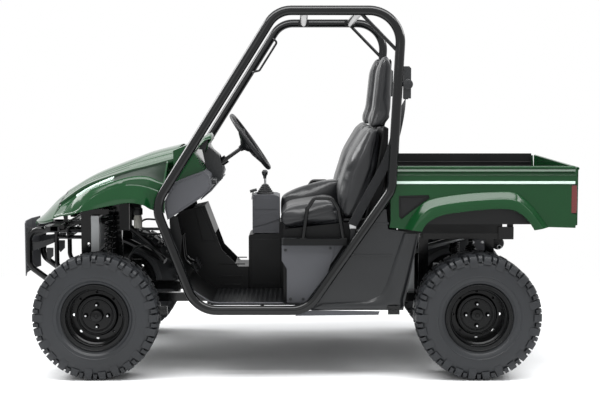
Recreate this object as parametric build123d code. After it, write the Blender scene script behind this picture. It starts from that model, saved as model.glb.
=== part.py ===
from build123d import *
import math
import os

# Side-by-side utility vehicle. Millimetres, +X forward, +Y left, +Z up.
# The origin is on the ground, under the middle of the vehicle's bounding box.

# ---------------------------------------------------------------- driving dimensions
wheelbase = 1910
front_overhang = 467
rear_overhang = 508
overall_width = 1385
overall_height = 1853

seat_gap = 0.3            # between bolted pieces that lie against each other
fit_gap = 0.05            # radial running fit of pins and shafts
move_gap = 5              # between moving pieces and their neighbours

# wheels
tyre_radius = 314
front_tyre_width = 203
rear_tyre_width = 254
bead_radius = 152.4
rim_flange = 16
rim_wall = 5
front_rim_width = 165
rear_rim_width = 216
rim_drop = 15
tyre_wall = 9
tyre_sides = 22           # flats of the carcass, and lugs on each side
lug_height = 18
lug_width = 40
disc_inset = 6
disc_wall = 6
disc_step = 14
disc_rise_radius = 100
hub_radius = 32
hub_length = 62
spindle_radius = 14
stud_circle = 110
stud_count = 4
stud_radius = 9
stud_height = 12
vent_count = 8
vent_radius = 7
vent_circle_radius = 117

# roll cage
hoop_inset = 52.5         # hoop centreline from the widest point
hoop_tube = 48
crossbar_tube = 42
crossbar_flange = 62
crossbar_flange_wall = 8
brace_tube = 18
handle_tube = 13

# frame
rail_y = 200
rail_width = 40
rail_height = 45
outrigger_tube = 38
subframe_y = 300
subframe_width = 30
subframe_height = 30
subframe_top = 695
hinge_pin_radius = 10
hinge_lug_radius = 15
hinge_lug_wall = 20
hinge_ear_wall = 12

# suspension and steering
kingpin_inset = 81        # kingpin from the wheel's middle plane
carrier_inset = 87.5      # rear hub carrier from the wheel's middle plane
shock_inset = 132         # foot of a shock from the kingpin
kingpin_radius = 8
knuckle_half_height = 80
knuckle_block = 36
arm_eye_radius = 18
arm_eye_height = 20
arm_tube = 28
arm_spread = 200
shock_radius = 28
shock_eye_radius = 14
shaft_radius = 14
steer_arm = 90
steer_arm_wall = 16
rack_radius = 10
tie_rod_drop = 2
steering_wheel_radius = 175
steering_wheel_tube = 24
steering_wheel_offset = 21  # outboard of the seat's middle
column_radius = 12
column_housing_radius = 22
column_angle = 54.6       # from the vertical, leaning back

# bodywork
panel_wall = 4
floor_wall = 6
floor_top = 372
floor_inset = 16          # floor edge from the hoop's inner face
tunnel_half_width = 130
tunnel_top = 494
hood_inset = 221          # hood edge from the hoop's inner face
hood_hinge_radius = 5
seat_half_gap = 68
seat_side_gap = 18        # seat from the middle of the hip bar
seat_box_half_width = 520
seat_head_width = 250
bed_inset = 16            # bed side from the hoop's inner face
bed_side_wall = 20
bed_wall = 3
bed_floor_z = 775
bed_rail_z = 1065
tailgate_wall = 20

# ---------------------------------------------------------------- places worked out from them
front_axle_x = (wheelbase + front_overhang + rear_overhang) / 2 - front_overhang
rear_axle_x = front_axle_x - wheelbase
nose_x = front_axle_x + front_overhang
tail_x = rear_axle_x - rear_overhang
axle_z = tyre_radius
front_wheel_y = (overall_width - front_tyre_width) / 2
rear_wheel_y = (overall_width - rear_tyre_width) / 2
rail_top = floor_top - floor_wall - seat_gap
rail_bottom = rail_top - rail_height
rail_outer_y = rail_y + rail_width / 2
rail_inner_y = rail_y - rail_width / 2
kingpin_y = front_wheel_y - kingpin_inset
carrier_y = rear_wheel_y - carrier_inset
shock_foot_y = kingpin_y - shock_inset
hoop_y = overall_width / 2 - hoop_inset
hoop_inner_y = hoop_y - hoop_tube / 2
hoop_top_z = overall_height - hoop_tube / 2
hoop_foot_z = 347
floor_half_width = hoop_inner_y - floor_inset
floor_rear_half_width = floor_half_width - 18
side_room = hoop_inner_y - seat_box_half_width
hip_bar_y = seat_box_half_width + side_room * 0.5
ledge_half_width = seat_box_half_width + side_room * 0.645
side_cover_y = seat_box_half_width + side_room * 0.42
seat_outer_y = hip_bar_y - seat_side_gap
seat_middle_y = (seat_half_gap + seat_outer_y) / 2
steering_wheel_y = seat_middle_y + steering_wheel_offset
hood_half_width = hoop_inner_y - hood_inset
bed_half_width = hoop_inner_y - bed_inset
bed_inner_y = bed_half_width - bed_side_wall

# The outlines below are drawn for these places of the tail, the axles, the nose and the side.
drawn_xs = [-1442.5, -934.5, 975.5, 1442.5]
drawn_side_y = 692.5


def station(x):
    """Place of a drawn x, moved with the tail, the axles and the nose."""
    places = [tail_x, rear_axle_x, front_axle_x, nose_x]
    span = sum(1 for edge in drawn_xs[1:3] if x > edge)
    part = (x - drawn_xs[span]) / (drawn_xs[span + 1] - drawn_xs[span])
    return places[span] + part * (places[span + 1] - places[span])


def drawn(points):
    """Drawn (x, z) points, moved the same way."""
    return [(station(x), z) for x, z in points]


def wide(y):
    """Distance from the middle of a drawn y, moved with the vehicle's side."""
    return y + overall_width / 2 - drawn_side_y


# cab hoop centreline: drawn x, z, bend radius
hoop_corners = [
    (71, hoop_top_z, 130),
    (675, 870, 150),
    (474, hoop_foot_z, 150),
    (-80, hoop_foot_z, 150),
    (-497, 949, 120),
    (-543, hoop_top_z, 155),
]


# ---------------------------------------------------------------- shape helpers
def block(x_low, x_high, y_low, y_high, z_low, z_high):
    """Box between six planes."""
    size = (x_high - x_low, y_high - y_low, z_high - z_low)
    centre = ((x_low + x_high) / 2, (y_low + y_high) / 2, (z_low + z_high) / 2)
    return Pos(*centre) * Box(*size)


def side_prism(points, y_low, y_high):
    """Solid with a side-view outline of (x, z) points between two Y planes."""
    outline = Polyline(*[(x, y_high, z) for x, z in points], close=True)
    return extrude(make_face(outline), y_high - y_low, dir=(0, -1, 0))


def rod(start, end, radius):
    """Round bar between two points."""
    direction = Vector(*end) - Vector(*start)
    return Part() + Solid.make_cylinder(radius, direction.length, Plane(origin=start, z_dir=direction))


def bent_tube(points, bends, diameter):
    """Tube along straight runs joined by arcs."""
    path = FilletPolyline(*points, radius=bends)
    section = Plane(origin=path @ 0, z_dir=path % 0) * Circle(diameter / 2)
    return sweep(section, path=path)


def both_sides(shape):
    """The left shape and its mirror image."""
    return [shape, mirror(shape, about=Plane.XZ)]


def ruled_shell(outer_sections, inner_sections):
    """Difference of two ruled lofts."""
    return loft(outer_sections, ruled=True) - loft(inner_sections, ruled=True)


def save(name, *shapes):
    """Write one node."""
    solids = [solid for shape in shapes for solid in shape.solids()]
    export_step(Compound(children=solids), f"parts/{name}.step")


# ---------------------------------------------------------------- wheels
def ring(points):
    """Turned ring from (radius, height) points, round the local Z axis."""
    outline = Polyline(*[(r, 0, z) for r, z in points], close=True)
    return revolve(make_face(outline), axis=Axis.Z)


def rim(width):
    """Pressed rim with its hub; local +Z is outboard."""
    half = width / 2
    flange_radius = bead_radius + rim_flange
    drop_radius = bead_radius - rim_drop
    lip = rim_wall + 1
    seat = half - 30
    drop = half - 45
    outer = [
        (flange_radius, -half),
        (flange_radius, -half + lip),
        (bead_radius, -half + lip),
        (bead_radius, -seat),
        (drop_radius, -drop),
        (drop_radius, drop),
        (bead_radius, seat),
        (bead_radius, half - lip),
        (flange_radius, half - lip),
        (flange_radius, half),
    ]
    inner = [
        (bead_radius - rim_wall, half),
        (bead_radius - rim_wall, seat),
        (drop_radius - rim_wall, drop),
        (drop_radius - rim_wall, -drop),
        (bead_radius - rim_wall, -seat),
        (bead_radius - rim_wall, -half),
    ]
    barrel = ring(outer + inner)
    disc_z = -disc_inset
    disc_edge = drop_radius - rim_wall + 1
    disc = ring([
        (disc_edge, disc_z),
        (disc_rise_radius + disc_wall, disc_z),
        (disc_rise_radius, disc_z + disc_step),
        (hub_radius - 1, disc_z + disc_step),
        (hub_radius - 1, disc_z + disc_step - disc_wall),
        (disc_rise_radius - disc_wall, disc_z + disc_step - disc_wall),
        (disc_rise_radius, disc_z - disc_wall),
        (disc_edge, disc_z - disc_wall),
    ])
    hub = Pos(0, 0, disc_z) * Cylinder(hub_radius, hub_length)
    bore_depth = hub_length - disc_wall
    bore_z = disc_z - hub_length / 2 + bore_depth / 2
    bore = Pos(0, 0, bore_z) * Cylinder(spindle_radius + fit_gap, bore_depth)
    studs = [
        Pos(spot.position.X, spot.position.Y, disc_z + disc_step + stud_height / 2)
        * Cylinder(stud_radius, stud_height)
        for spot in PolarLocations(stud_circle / 2, stud_count)
    ]
    vents = [
        Pos(spot.position.X, spot.position.Y, disc_z - disc_wall / 2)
        * Cylinder(vent_radius, disc_wall + 2)
        for spot in PolarLocations(vent_circle_radius, vent_count)
    ]
    return barrel + disc + hub + studs - bore - vents


def flat_sided(sections):
    """Ruled stack of many-sided sections, (radius, height) at the corners, round the local Z axis."""
    turn = 90 + 180 / tyre_sides
    faces = [
        Plane(origin=(0, 0, z)) * RegularPolygon(radius, tyre_sides, rotation=turn)
        for radius, z in sections
    ]
    return loft(faces, ruled=True)


def dished(sections, rim_section):
    """Stack of the sections of both sides, hollowed at each end down to the rim section."""
    body = flat_sided([(r, -z) for r, z in sections] + [(r, z) for r, z in reversed(sections)])
    dish = flat_sided([rim_section, sections[0]])
    return body - dish - mirror(dish, about=Plane.XY)


def tyre(width, rim_width):
    """Tyre with its lugs; local +Z is outboard and local +Y is down."""
    half = width / 2
    corner = 1 / math.cos(math.pi / tyre_sides)
    bead = rim_width / 2 - rim_wall - 1 - seat_gap
    bore = (bead_radius + seat_gap) * corner
    flange = (bead_radius + rim_flange + seat_gap) * corner
    crown = tyre_radius - lug_height
    side_radius = bead_radius + 80
    carcass = dished([(side_radius, half), (crown, half * 0.62)], (flange, bead))
    hollow = dished([(side_radius, half - tyre_wall - 5)], (bore - 1, bead - 2 * tyre_wall))
    solid = carcass - hollow - flat_sided([(bore, -bead), (bore, bead)])
    outline = [
        (crown - 12, half * 0.05),
        (tyre_radius, half * 0.05),
        (tyre_radius, half * 0.72),
        (side_radius - 4, half - 4),
    ]
    lug = extrude(make_face(Polyline(*[(r, lug_width / 2, z) for r, z in outline], close=True)), lug_width,
                  dir=(0, -1, 0))
    other = mirror(lug, about=Plane.XY)
    pitch = 360 / tyre_sides
    lugs = []
    for step in range(tyre_sides):
        lugs.append(Rot(0, 0, 90 + step * pitch) * lug)
        lugs.append(Rot(0, 0, 90 + (step + 0.5) * pitch) * other)
    return solid + lugs


# name, axle x, wheel centre y, tyre width, rim width
wheels = [
    ("front", front_axle_x, front_wheel_y, front_tyre_width, front_rim_width),
    ("rear", rear_axle_x, rear_wheel_y, rear_tyre_width, rear_rim_width),
]


def write_wheels():
    for name, x, y, tyre_width, rim_width in wheels:
        place = Pos(x, y, axle_z) * Rot(-90, 0, 0)
        left_rim = place * rim(rim_width)
        left_tyre = place * tyre(tyre_width, rim_width)
        save(f"{name}_left_rim", left_rim)
        save(f"{name}_left_tyre", left_tyre)
        save(f"{name}_right_rim", mirror(left_rim, about=Plane.XZ))
        save(f"{name}_right_tyre", mirror(left_tyre, about=Plane.XZ))


# ---------------------------------------------------------------- roll cage
crossbar_xs = [station(-64), station(-337)]
brace_drop = 197
# handle on the front pillar: depth below the roof bar, distance behind the pillar's centreline
handle_corners = [(94, 22), (113, 50), (277, 50), (284, 25)]
handle_ends = [81, 292]


def pillar_x(lower, upper, z):
    """Centreline x of the straight between two hoop corners at height z."""
    x_low, z_low, bend = hoop_corners[lower]
    x_high, z_high, bend = hoop_corners[upper]
    return station(x_low) + (station(x_high) - station(x_low)) * (z - z_low) / (z_high - z_low)


def front_pillar_x(z):
    """Centreline x of the front pillar."""
    return pillar_x(1, 0, z)


def rear_pillar_x(z):
    """Centreline x of the rear pillar."""
    return pillar_x(4, 5, z)


def hoop():
    """Closed cab hoop on the left: an upper bow and a foot bar, welded."""
    points = [(station(x), hoop_y, z) for x, z, bend in hoop_corners]
    bends = [bend for x, z, bend in hoop_corners]
    foot_middle = ((points[2][0] + points[3][0]) / 2, hoop_y, hoop_foot_z)
    roof_middle = ((points[0][0] + points[5][0]) / 2, hoop_y, hoop_top_z)
    front = bent_tube([roof_middle] + points[:3] + [foot_middle], bends[:3], hoop_tube)
    rear = bent_tube([foot_middle] + points[3:] + [roof_middle], bends[3:], hoop_tube)
    return front + rear


def crossbars():
    """Two roof bars between the hoops."""
    bars = []
    half = hoop_inner_y - seat_gap
    for x in crossbar_xs:
        bar = rod((x, -half, hoop_top_z), (x, half, hoop_top_z), crossbar_tube / 2)
        for y in (-half, half - crossbar_flange_wall):
            flange = block(x - crossbar_flange / 2, x + crossbar_flange / 2, y, y + crossbar_flange_wall,
                           hoop_top_z - crossbar_tube / 2, hoop_top_z + crossbar_tube / 2)
            bar = bar + flange
        bars.append(bar)
    return bars


def hoop_brace():
    """Corner brace in the plane of the left hoop."""
    start = (crossbar_xs[1], hoop_y, hoop_top_z - 10)
    end_z = hoop_top_z - brace_drop
    end = (rear_pillar_x(end_z) + hoop_tube / 4, hoop_y, end_z)
    return rod(start, end, brace_tube / 2)


def grab_handle():
    """Bent handle on the right front pillar."""
    y = -(hoop_inner_y - handle_tube)
    heights = [(hoop_top_z - drop, back) for drop, back in handle_corners]
    ends = [(front_pillar_x(hoop_top_z - drop), -hoop_y, hoop_top_z - drop) for drop in handle_ends]
    points = [ends[0]] + [(front_pillar_x(z) - back, y, z) for z, back in heights] + [ends[1]]
    return bent_tube(points, [8, 14, 14, 14], handle_tube)


def write_cage():
    left = hoop() + hoop_brace()
    right = mirror(left, about=Plane.XZ) + grab_handle()
    save("hoop_left", left)
    save("hoop_right", right)
    save("roof_crossbars", *crossbars())


# ---------------------------------------------------------------- frame
upright_x_low = front_axle_x + 82.5
upright_x_high = upright_x_low + 58
upright_wall = 30
upright_top = 811
tower_x_low = front_axle_x - 75
tower_x_high = tower_x_low + 50
tower_top = 840
rail_front_x = front_axle_x + 205
rail_rear_x = rear_axle_x - 160
rear_upright_xs = [rear_axle_x - 111.5, rear_axle_x + 235]
rear_upright_length = 50
subframe_front_x = rear_axle_x + 250
subframe_rear_x = rear_axle_x - 203.5
bed_hinge_x = rear_axle_x - 207.5
bed_hinge_z = subframe_top + 20
cross_member_length = 40
cross_member_xs = [rail_front_x - 30, front_axle_x + 60, front_axle_x - 90, station(430), station(0),
                   station(-330), station(-640), rear_axle_x + 70, rear_axle_x - 70]
outrigger_xs = [station(430), station(150), station(-60)]
hood_hinge_x = station(1186)
hood_hinge_z = 868
hood_hinge_y = hood_half_width - 95
lamp_bar_x = upright_x_high + 60
lamp_bar_z = 742
lamp_bar_radius = 12
lamp_bar_half = wide(430)
tongue_length = 120
tongue_wall = 10
tongue_hole_radius = 10


def frame_side():
    """Left lower rail with its uprights and the rear subframe posts, welded."""
    side = block(rail_rear_x, rail_front_x, rail_inner_y, rail_outer_y, rail_bottom, rail_top)
    y_low = rail_y - upright_wall / 2
    y_high = rail_y + upright_wall / 2
    side += block(upright_x_low, upright_x_high, y_low, y_high, rail_top, upright_top)
    side += block(tower_x_low, tower_x_high, y_low, y_high, rail_top, tower_top)
    side += block(tower_x_low, upright_x_high, y_low, y_high, upright_top - 30, upright_top)
    for x in rear_upright_xs:
        side += block(x - rear_upright_length / 2, x + rear_upright_length / 2, y_low, y_high,
                      rail_top, subframe_top - subframe_height)
    side -= Pos(upright_x_low + 20, rail_y, 625) * Rot(90, 0, 0) * Cylinder(10, rail_width)
    return side


def cross_members():
    """Bars between the two lower rails."""
    half = cross_member_length / 2
    return [
        block(x - half, x + half, -rail_inner_y, rail_inner_y, rail_bottom, rail_top)
        for x in cross_member_xs
    ]


def outriggers():
    """Tubes from the rails to the feet of the hoops."""
    bars = []
    for x in outrigger_xs:
        bar = rod((x, rail_outer_y, hoop_foot_z - 8), (x, hoop_inner_y - seat_gap, hoop_foot_z - 8), 10)
        bars += both_sides(bar)
    return bars


def subframe():
    """Rear frame that carries the bed, with the ears and pins of the bed hinge."""
    x_front = subframe_front_x
    x_rear = subframe_rear_x
    z_low = subframe_top - subframe_height
    y_low = subframe_y - subframe_width / 2
    y_high = subframe_y + subframe_width / 2
    frame = block(x_rear, x_front, y_low, y_high, z_low, subframe_top)
    ear_low = y_high - hinge_ear_wall
    ear = block(bed_hinge_x - hinge_lug_radius, x_rear + 60, y_high, y_high + hinge_ear_wall, z_low,
                bed_hinge_z + hinge_lug_radius)
    pin_inner = y_high - move_gap - hinge_lug_wall
    pin = rod((bed_hinge_x, pin_inner, bed_hinge_z), (bed_hinge_x, y_high, bed_hinge_z), hinge_pin_radius)
    frame = frame + ear + pin
    frame = frame + mirror(frame, about=Plane.XZ)
    for x in rear_upright_xs:
        half = rear_upright_length / 2
        frame += block(x - half, x + half, -y_low, y_low, z_low, subframe_top)
    return frame


def front_bars():
    """Top bars of the front frame, the lamp bar and the hood's hinge ears."""
    y = rail_y - upright_wall / 2
    bar = block(upright_x_low, upright_x_high, -y, y, upright_top - 30, upright_top)
    tower = block(tower_x_low, tower_x_high, -y, y, tower_top - 40, tower_top)
    lamp_ends = [(lamp_bar_x, side * lamp_bar_half, lamp_bar_z) for side in (-1, 1)]
    lamp = rod(*lamp_ends, lamp_bar_radius)
    for side in (-1, 1):
        stay_y = side * rail_y
        lamp += block(upright_x_high + seat_gap, lamp_bar_x, stay_y - 10, stay_y + 10,
                      lamp_bar_z - 8, lamp_bar_z + 8)
        ear_y = side * (hood_hinge_y + 10)
        ear = side_prism([(lamp_bar_x - 8, lamp_bar_z), (lamp_bar_x + 8, lamp_bar_z), (hood_hinge_x + 8, 800),
                          (hood_hinge_x + 8, hood_hinge_z + 8), (hood_hinge_x - 8, hood_hinge_z + 8),
                          (lamp_bar_x - 8, 800)], ear_y - 3, ear_y + 3)
        pin_end = side * (hood_hinge_y - 6)
        lamp += ear
        lamp += rod((hood_hinge_x, pin_end, hood_hinge_z), (hood_hinge_x, ear_y, hood_hinge_z), hood_hinge_radius)
    return [bar, tower, lamp]


def tongue():
    """Towing tongue with its pin hole."""
    x_high = rail_rear_x - seat_gap
    x_low = x_high - tongue_length
    z_low = rail_bottom + 10
    bar = block(x_high - 30, x_high, -rail_outer_y, rail_outer_y, rail_bottom, rail_top)
    bar += block(x_low, x_high - 30, -40, 40, z_low, z_low + tongue_wall)
    hole = Pos(x_low + 30, 0, z_low + tongue_wall / 2) * Cylinder(tongue_hole_radius, tongue_wall + 2)
    return bar - hole


def write_frame():
    save("frame_sides", *both_sides(frame_side()))
    save("frame_cross_members", *cross_members(), *outriggers(), tongue())
    save("rear_subframe", subframe())
    save("front_frame_bars", *front_bars())


# ---------------------------------------------------------------- front guard
guard_tube = 32
guard_inner_tube = 25
guard_stay = 20
guard_y = rail_y - 15
guard_inner_x = station(1252)
guard_inner_foot_z = 470
guard_stay_z = 660
guard_plate_wall = 5
guard_plate_half_width = 190
guard_plate_flat = 70
guard_sweep = 22
guard_top_z = 700
guard_z_high = 735
guard_z_low = 452


def guard_tubes():
    """Left side tube of the front guard, from the upright round to the lower rail."""
    x_front = nose_x - guard_sweep - guard_plate_wall - seat_gap - guard_tube / 2
    foot_z = rail_bottom + rail_height / 2
    points = [
        (upright_x_high + seat_gap, guard_y, guard_top_z),
        (x_front, guard_y, guard_top_z),
        (x_front, guard_y, 505),
        (x_front - 108, guard_y, 425),
        (rail_front_x + 55, guard_y, foot_z),
        (rail_front_x + seat_gap, guard_y, foot_z),
    ]
    inner = [
        (guard_inner_x, guard_y, guard_top_z),
        (guard_inner_x, guard_y, guard_inner_foot_z),
        (upright_x_high + seat_gap, guard_y, guard_inner_foot_z),
    ]
    stay_start = (upright_x_high + seat_gap, guard_y, guard_stay_z)
    stay = rod(stay_start, (guard_inner_x, guard_y, guard_stay_z), guard_stay / 2)
    return bent_tube(points, [60, 60, 60, 40], guard_tube) + bent_tube(inner, 60, guard_inner_tube) + stay


def guard_plate():
    """Bowed plate across the front guard."""
    x = nose_x
    wall = guard_plate_wall
    front = [
        (x - guard_sweep, guard_plate_half_width),
        (x, guard_plate_flat),
        (x, -guard_plate_flat),
        (x - guard_sweep, -guard_plate_half_width),
    ]
    back = [(px - wall, py) for px, py in reversed(front)]
    outline = Polyline(*[(px, py, guard_z_low) for px, py in front + back], close=True)
    return extrude(make_face(outline), guard_z_high - guard_z_low, dir=(0, 0, 1))


def write_guard():
    save("front_guard_tubes", *both_sides(guard_tubes()))
    save("front_guard_plate", guard_plate())


# ---------------------------------------------------------------- suspension, drive and steering
diff_half_width = 110
diff_bottom = rail_top + seat_gap
diff_top = 480
diff_z = 415
upper_pivot_z = 470
lower_pivot_z = rail_bottom + 15
shock_bar_radius = 8
front_shock_x = front_axle_x - 27.5


def arm_height(y, outer_y, z_outer, z_pivot):
    """Height of a wishbone's leg at y."""
    pivot_y = rail_outer_y + seat_gap + arm_tube / 2
    return z_pivot + (z_outer - z_pivot) * (y - pivot_y) / (outer_y - pivot_y)


def arm(axle_x, outer_y, z_outer, z_pivot):
    """Left wishbone with its pivot tube and outer eye."""
    pivot_y = rail_outer_y + seat_gap + arm_tube / 2
    half = arm_spread / 2
    wishbone = rod((axle_x - half - 20, pivot_y, z_pivot), (axle_x + half + 20, pivot_y, z_pivot), arm_tube / 2)
    for side in (-1, 1):
        start = (axle_x + side * half, pivot_y, z_pivot)
        end = (axle_x + side * 6, outer_y - 4, z_outer)
        wishbone += rod(start, end, arm_tube / 2 - 4)
    if z_pivot > axle_z + knuckle_half_height:
        bar_z = arm_height(shock_foot_y, outer_y - 4, z_outer, z_pivot)
        wishbone += rod((axle_x - 45, shock_foot_y, bar_z), (axle_x + 45, shock_foot_y, bar_z), shock_bar_radius)
    return wishbone


def front_arms():
    """Left front wishbones, bored for the kingpin ends of the knuckle."""
    arms = []
    for direction, pivot_z in ((1, upper_pivot_z), (-1, lower_pivot_z)):
        eye_z = axle_z + direction * (knuckle_half_height + 1 + arm_eye_height / 2)
        eye = Pos(front_axle_x, kingpin_y, eye_z) * Cylinder(arm_eye_radius, arm_eye_height)
        bore = Pos(front_axle_x, kingpin_y, eye_z) * Cylinder(kingpin_radius + fit_gap, arm_eye_height * 3)
        bone = arm(front_axle_x, kingpin_y, eye_z, pivot_z)
        keep_out = Pos(front_axle_x, kingpin_y, axle_z) * Box(90, 90, 2 * knuckle_half_height + 2)
        arms.append(bone + eye - bore - keep_out)
    return arms


def rear_arms():
    """Left rear wishbones with the hub carrier and its spindle."""
    carrier_low = carrier_y
    carrier_high = carrier_y + 30
    carrier = block(rear_axle_x - 30, rear_axle_x + 30, carrier_low, carrier_high, axle_z - 90, axle_z + 90)
    spindle_end = rear_wheel_y - disc_inset + hub_length / 2 - disc_wall - 2
    carrier += rod((rear_axle_x, carrier_high, axle_z), (rear_axle_x, spindle_end, axle_z), spindle_radius)
    carrier += arm(rear_axle_x, carrier_y + 6, axle_z + 75, upper_pivot_z - 40)
    carrier += arm(rear_axle_x, carrier_y + 6, axle_z - 75, lower_pivot_z)
    return carrier


def knuckle():
    """Left front knuckle: block, kingpin ends, spindle and steering arm."""
    half = knuckle_block / 2
    body = block(front_axle_x - half, front_axle_x + half, kingpin_y - half, kingpin_y + half,
                 axle_z - knuckle_half_height, axle_z + knuckle_half_height)
    pin_reach = knuckle_half_height + 1 + arm_eye_height
    body += rod((front_axle_x, kingpin_y, axle_z - pin_reach), (front_axle_x, kingpin_y, axle_z + pin_reach),
                kingpin_radius)
    spindle_end = front_wheel_y - disc_inset + hub_length / 2 - disc_wall - 2
    body += rod((front_axle_x, kingpin_y, axle_z), (front_axle_x, spindle_end, axle_z), spindle_radius)
    arm_top = rack_z - rack_radius - tie_rod_drop
    body += block(front_axle_x - steer_arm, front_axle_x - half, kingpin_y - 14, kingpin_y + 14,
                  arm_top - steer_arm_wall, arm_top)
    body += Pos(front_axle_x - steer_arm, kingpin_y, arm_top - steer_arm_wall / 2) * Cylinder(14, steer_arm_wall)
    return body


rack_x = front_axle_x - steer_arm
rack_z = 385
rack_housing_half = 130
rack_housing_radius = 18


def tie_rods():
    """Rack bar with a tie rod and eye at each end."""
    bar = rod((rack_x, -kingpin_y, rack_z), (rack_x, kingpin_y, rack_z), rack_radius - 2)
    for side in (-1, 1):
        bar += Pos(rack_x, side * kingpin_y, rack_z) * Cylinder(14, 2 * rack_radius)
    return bar


def rack_housing():
    """Tube round the rack bar."""
    tube_z = rack_z
    housing = Pos(rack_x, 0, tube_z) * Rot(90, 0, 0) * Cylinder(rack_housing_radius, 2 * rack_housing_half)
    foot = block(rack_x - 18, rack_x + 18, -60, 60, rail_top + seat_gap, rack_z)
    bore = Pos(rack_x, 0, tube_z) * Rot(90, 0, 0) * Cylinder(rack_radius - 2 + fit_gap, 2 * rack_housing_half + 2)
    return housing + foot - bore


def eye(x, y, z, half_length):
    """Round eye of a shock, across the vehicle's length."""
    return rod((x - half_length, y, z), (x + half_length, y, z), shock_eye_radius)


def shock(x, top_y, top_z, foot_z):
    """Left coil-over shock that stands on the bar of the upper wishbone."""
    top = (x, top_y, top_z)
    foot = (x, shock_foot_y, foot_z)
    axis = (Vector(*top) - Vector(*foot)).normalized()
    low = Vector(*foot) + axis * 34
    high = Vector(*top) - axis * 30
    body = rod(foot, top, 10)
    body += rod(tuple(low), tuple(high), shock_radius)
    return body + eye(x, shock_foot_y, foot_z, 12) + eye(x, top_y, top_z, 12)


def front_shock():
    """Left front shock with its pin into the tower."""
    arm_z = arm_height(shock_foot_y, kingpin_y - 4, axle_z + knuckle_half_height + 1 + arm_eye_height / 2,
                       upper_pivot_z)
    top_y = rail_y + 62
    top_z = tower_top - 30
    body = shock(front_shock_x, top_y, top_z, arm_z + shock_bar_radius + shock_eye_radius + seat_gap)
    pin_x = tower_x_high - 12
    return body + rod((pin_x, rail_y + upright_wall / 2 + seat_gap, top_z), (pin_x, top_y, top_z), 9)


def rear_shock():
    """Left rear shock, its top eye under the rear subframe."""
    arm_z = arm_height(shock_foot_y, carrier_y + 2, axle_z + 75, upper_pivot_z - 40)
    top_z = subframe_top - subframe_height - shock_eye_radius - seat_gap
    return shock(rear_axle_x, subframe_y, top_z, arm_z + shock_bar_radius + shock_eye_radius + seat_gap)


def half_shaft(axle_x, outer_y):
    """Left drive shaft from the differential to the wheel side."""
    drop = diff_z - axle_z - 6
    span = outer_y - diff_half_width
    end_room = shaft_radius * drop / span + seat_gap
    return rod((axle_x, diff_half_width + end_room, diff_z), (axle_x, outer_y - end_room, axle_z + 6), shaft_radius)


def write_drive():
    half = diff_half_width
    front_diff = block(front_axle_x - 55, front_axle_x + 95, -half, half, diff_bottom, diff_top)
    rear_diff = block(rear_axle_x - 100, rear_axle_x + 150, -half, half, diff_bottom, diff_top)
    engine_top = subframe_top - subframe_height - 5
    shafts = both_sides(half_shaft(front_axle_x, kingpin_y - knuckle_block / 2 - 30))
    shafts += both_sides(half_shaft(rear_axle_x, carrier_y))
    save("engine_block", block(station(-655), seat_box_rear_x - 5, -170, 170, diff_bottom, engine_top))
    save("drive_train", front_diff, rear_diff, *shafts)
    save("front_wishbones", *[half for bone in front_arms() for half in both_sides(bone)])
    save("rear_wishbones", *both_sides(rear_arms()))
    save("shock_absorbers", *both_sides(front_shock()), *both_sides(rear_shock()))
    save("knuckle_left", knuckle())
    save("knuckle_right", mirror(knuckle(), about=Plane.XZ))
    save("tie_rods", tie_rods())


# ---------------------------------------------------------------- steering wheel and column
wheel_centre = (station(213.5), steering_wheel_y, 1174)
column_x = math.sin(math.radians(column_angle))
column_z = math.cos(math.radians(column_angle))
column_plane = Plane(origin=wheel_centre, x_dir=(0, 1, 0), z_dir=(-column_x, 0, column_z))
column_start = 150
column_end = 340
spoke_width = 30
spoke_wall = 8
spoke_drop = 30


def steering_wheel():
    """Wheel rim, three spokes, hub and shaft; local +Z faces the driver."""
    ring_radius = steering_wheel_radius - steering_wheel_tube / 2
    wheel = Torus(ring_radius, steering_wheel_tube / 2)
    for angle in (90, 210, 330):
        inner = (0, 0, -spoke_drop)
        outer = (ring_radius * math.cos(math.radians(angle)), ring_radius * math.sin(math.radians(angle)), 0)
        wheel += rod(inner, outer, spoke_wall)
    wheel += Pos(0, 0, -spoke_drop) * Cylinder(38, 30)
    wheel += rod((0, 0, -spoke_drop), (0, 0, -column_end + 20), column_radius)
    return column_plane.location * wheel


def column_housing():
    """Column tube that the steering shaft runs in."""
    length = column_end - column_start
    middle = -(column_end + column_start) / 2
    tube = Pos(0, 0, middle) * Cylinder(column_housing_radius, length)
    tube -= Pos(0, 0, middle) * Cylinder(column_radius + fit_gap, length + 2)
    return column_plane.location * tube


def column_clearance():
    """Space that the column housing takes through the dash."""
    tube = Pos(0, 0, -250) * Cylinder(column_housing_radius + seat_gap, 500)
    return column_plane.location * tube


def write_steering():
    save("steering_wheel", steering_wheel())
    save("steering_housings", column_housing(), rack_housing())


# ---------------------------------------------------------------- front bodywork
# hood sections: drawn x, height at the middle, height at the edge
hood_sections = [
    (595, 1148, 1098),
    (740, 1112, 1058),
    (852, 1072, 1030),
    (1050, 993, 962),
    (1187, 914, 870),
]
hood_skirt = 34

dash_front = 630
fender_boss_x = station(657)
fender_boss_z = 868

# fender sections: drawn x, z at the hood, drawn y and z of the crown, drawn y and z of the lip
fender_sections = [
    (dash_front + seat_gap, 1078, 570, 975, 606, 830),
    (700, 1062, 575, 1005, 612, 850),
    (738, 1052, 575, 1014, 636, 874),
    (810, 1034, 575, 1010, 645, 884),
    (901, 1004, 575, 990, 642, 869),
    (991, 968, 572, 955, 638, 850),
    (1043, 943, 565, 932, 630, 838),
    (1100, 908, 552, 890, 610, 822),
    (1150, 875, 540, 845, 590, 815),
    (1196, 845, 520, 815, 566, 800),
]
fender_inner_y = hood_half_width + move_gap

# nose sections: drawn x, drawn half width, z at the middle, z at the sides
nose_sections = [
    (fender_sections[-1][0] + seat_gap, 562, 905, 798),
    (1250, 500, 862, 780),
    (1305, 400, 800, 768),
    (1338, 280, 768, 760),
]
nose_lip = 12


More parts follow.
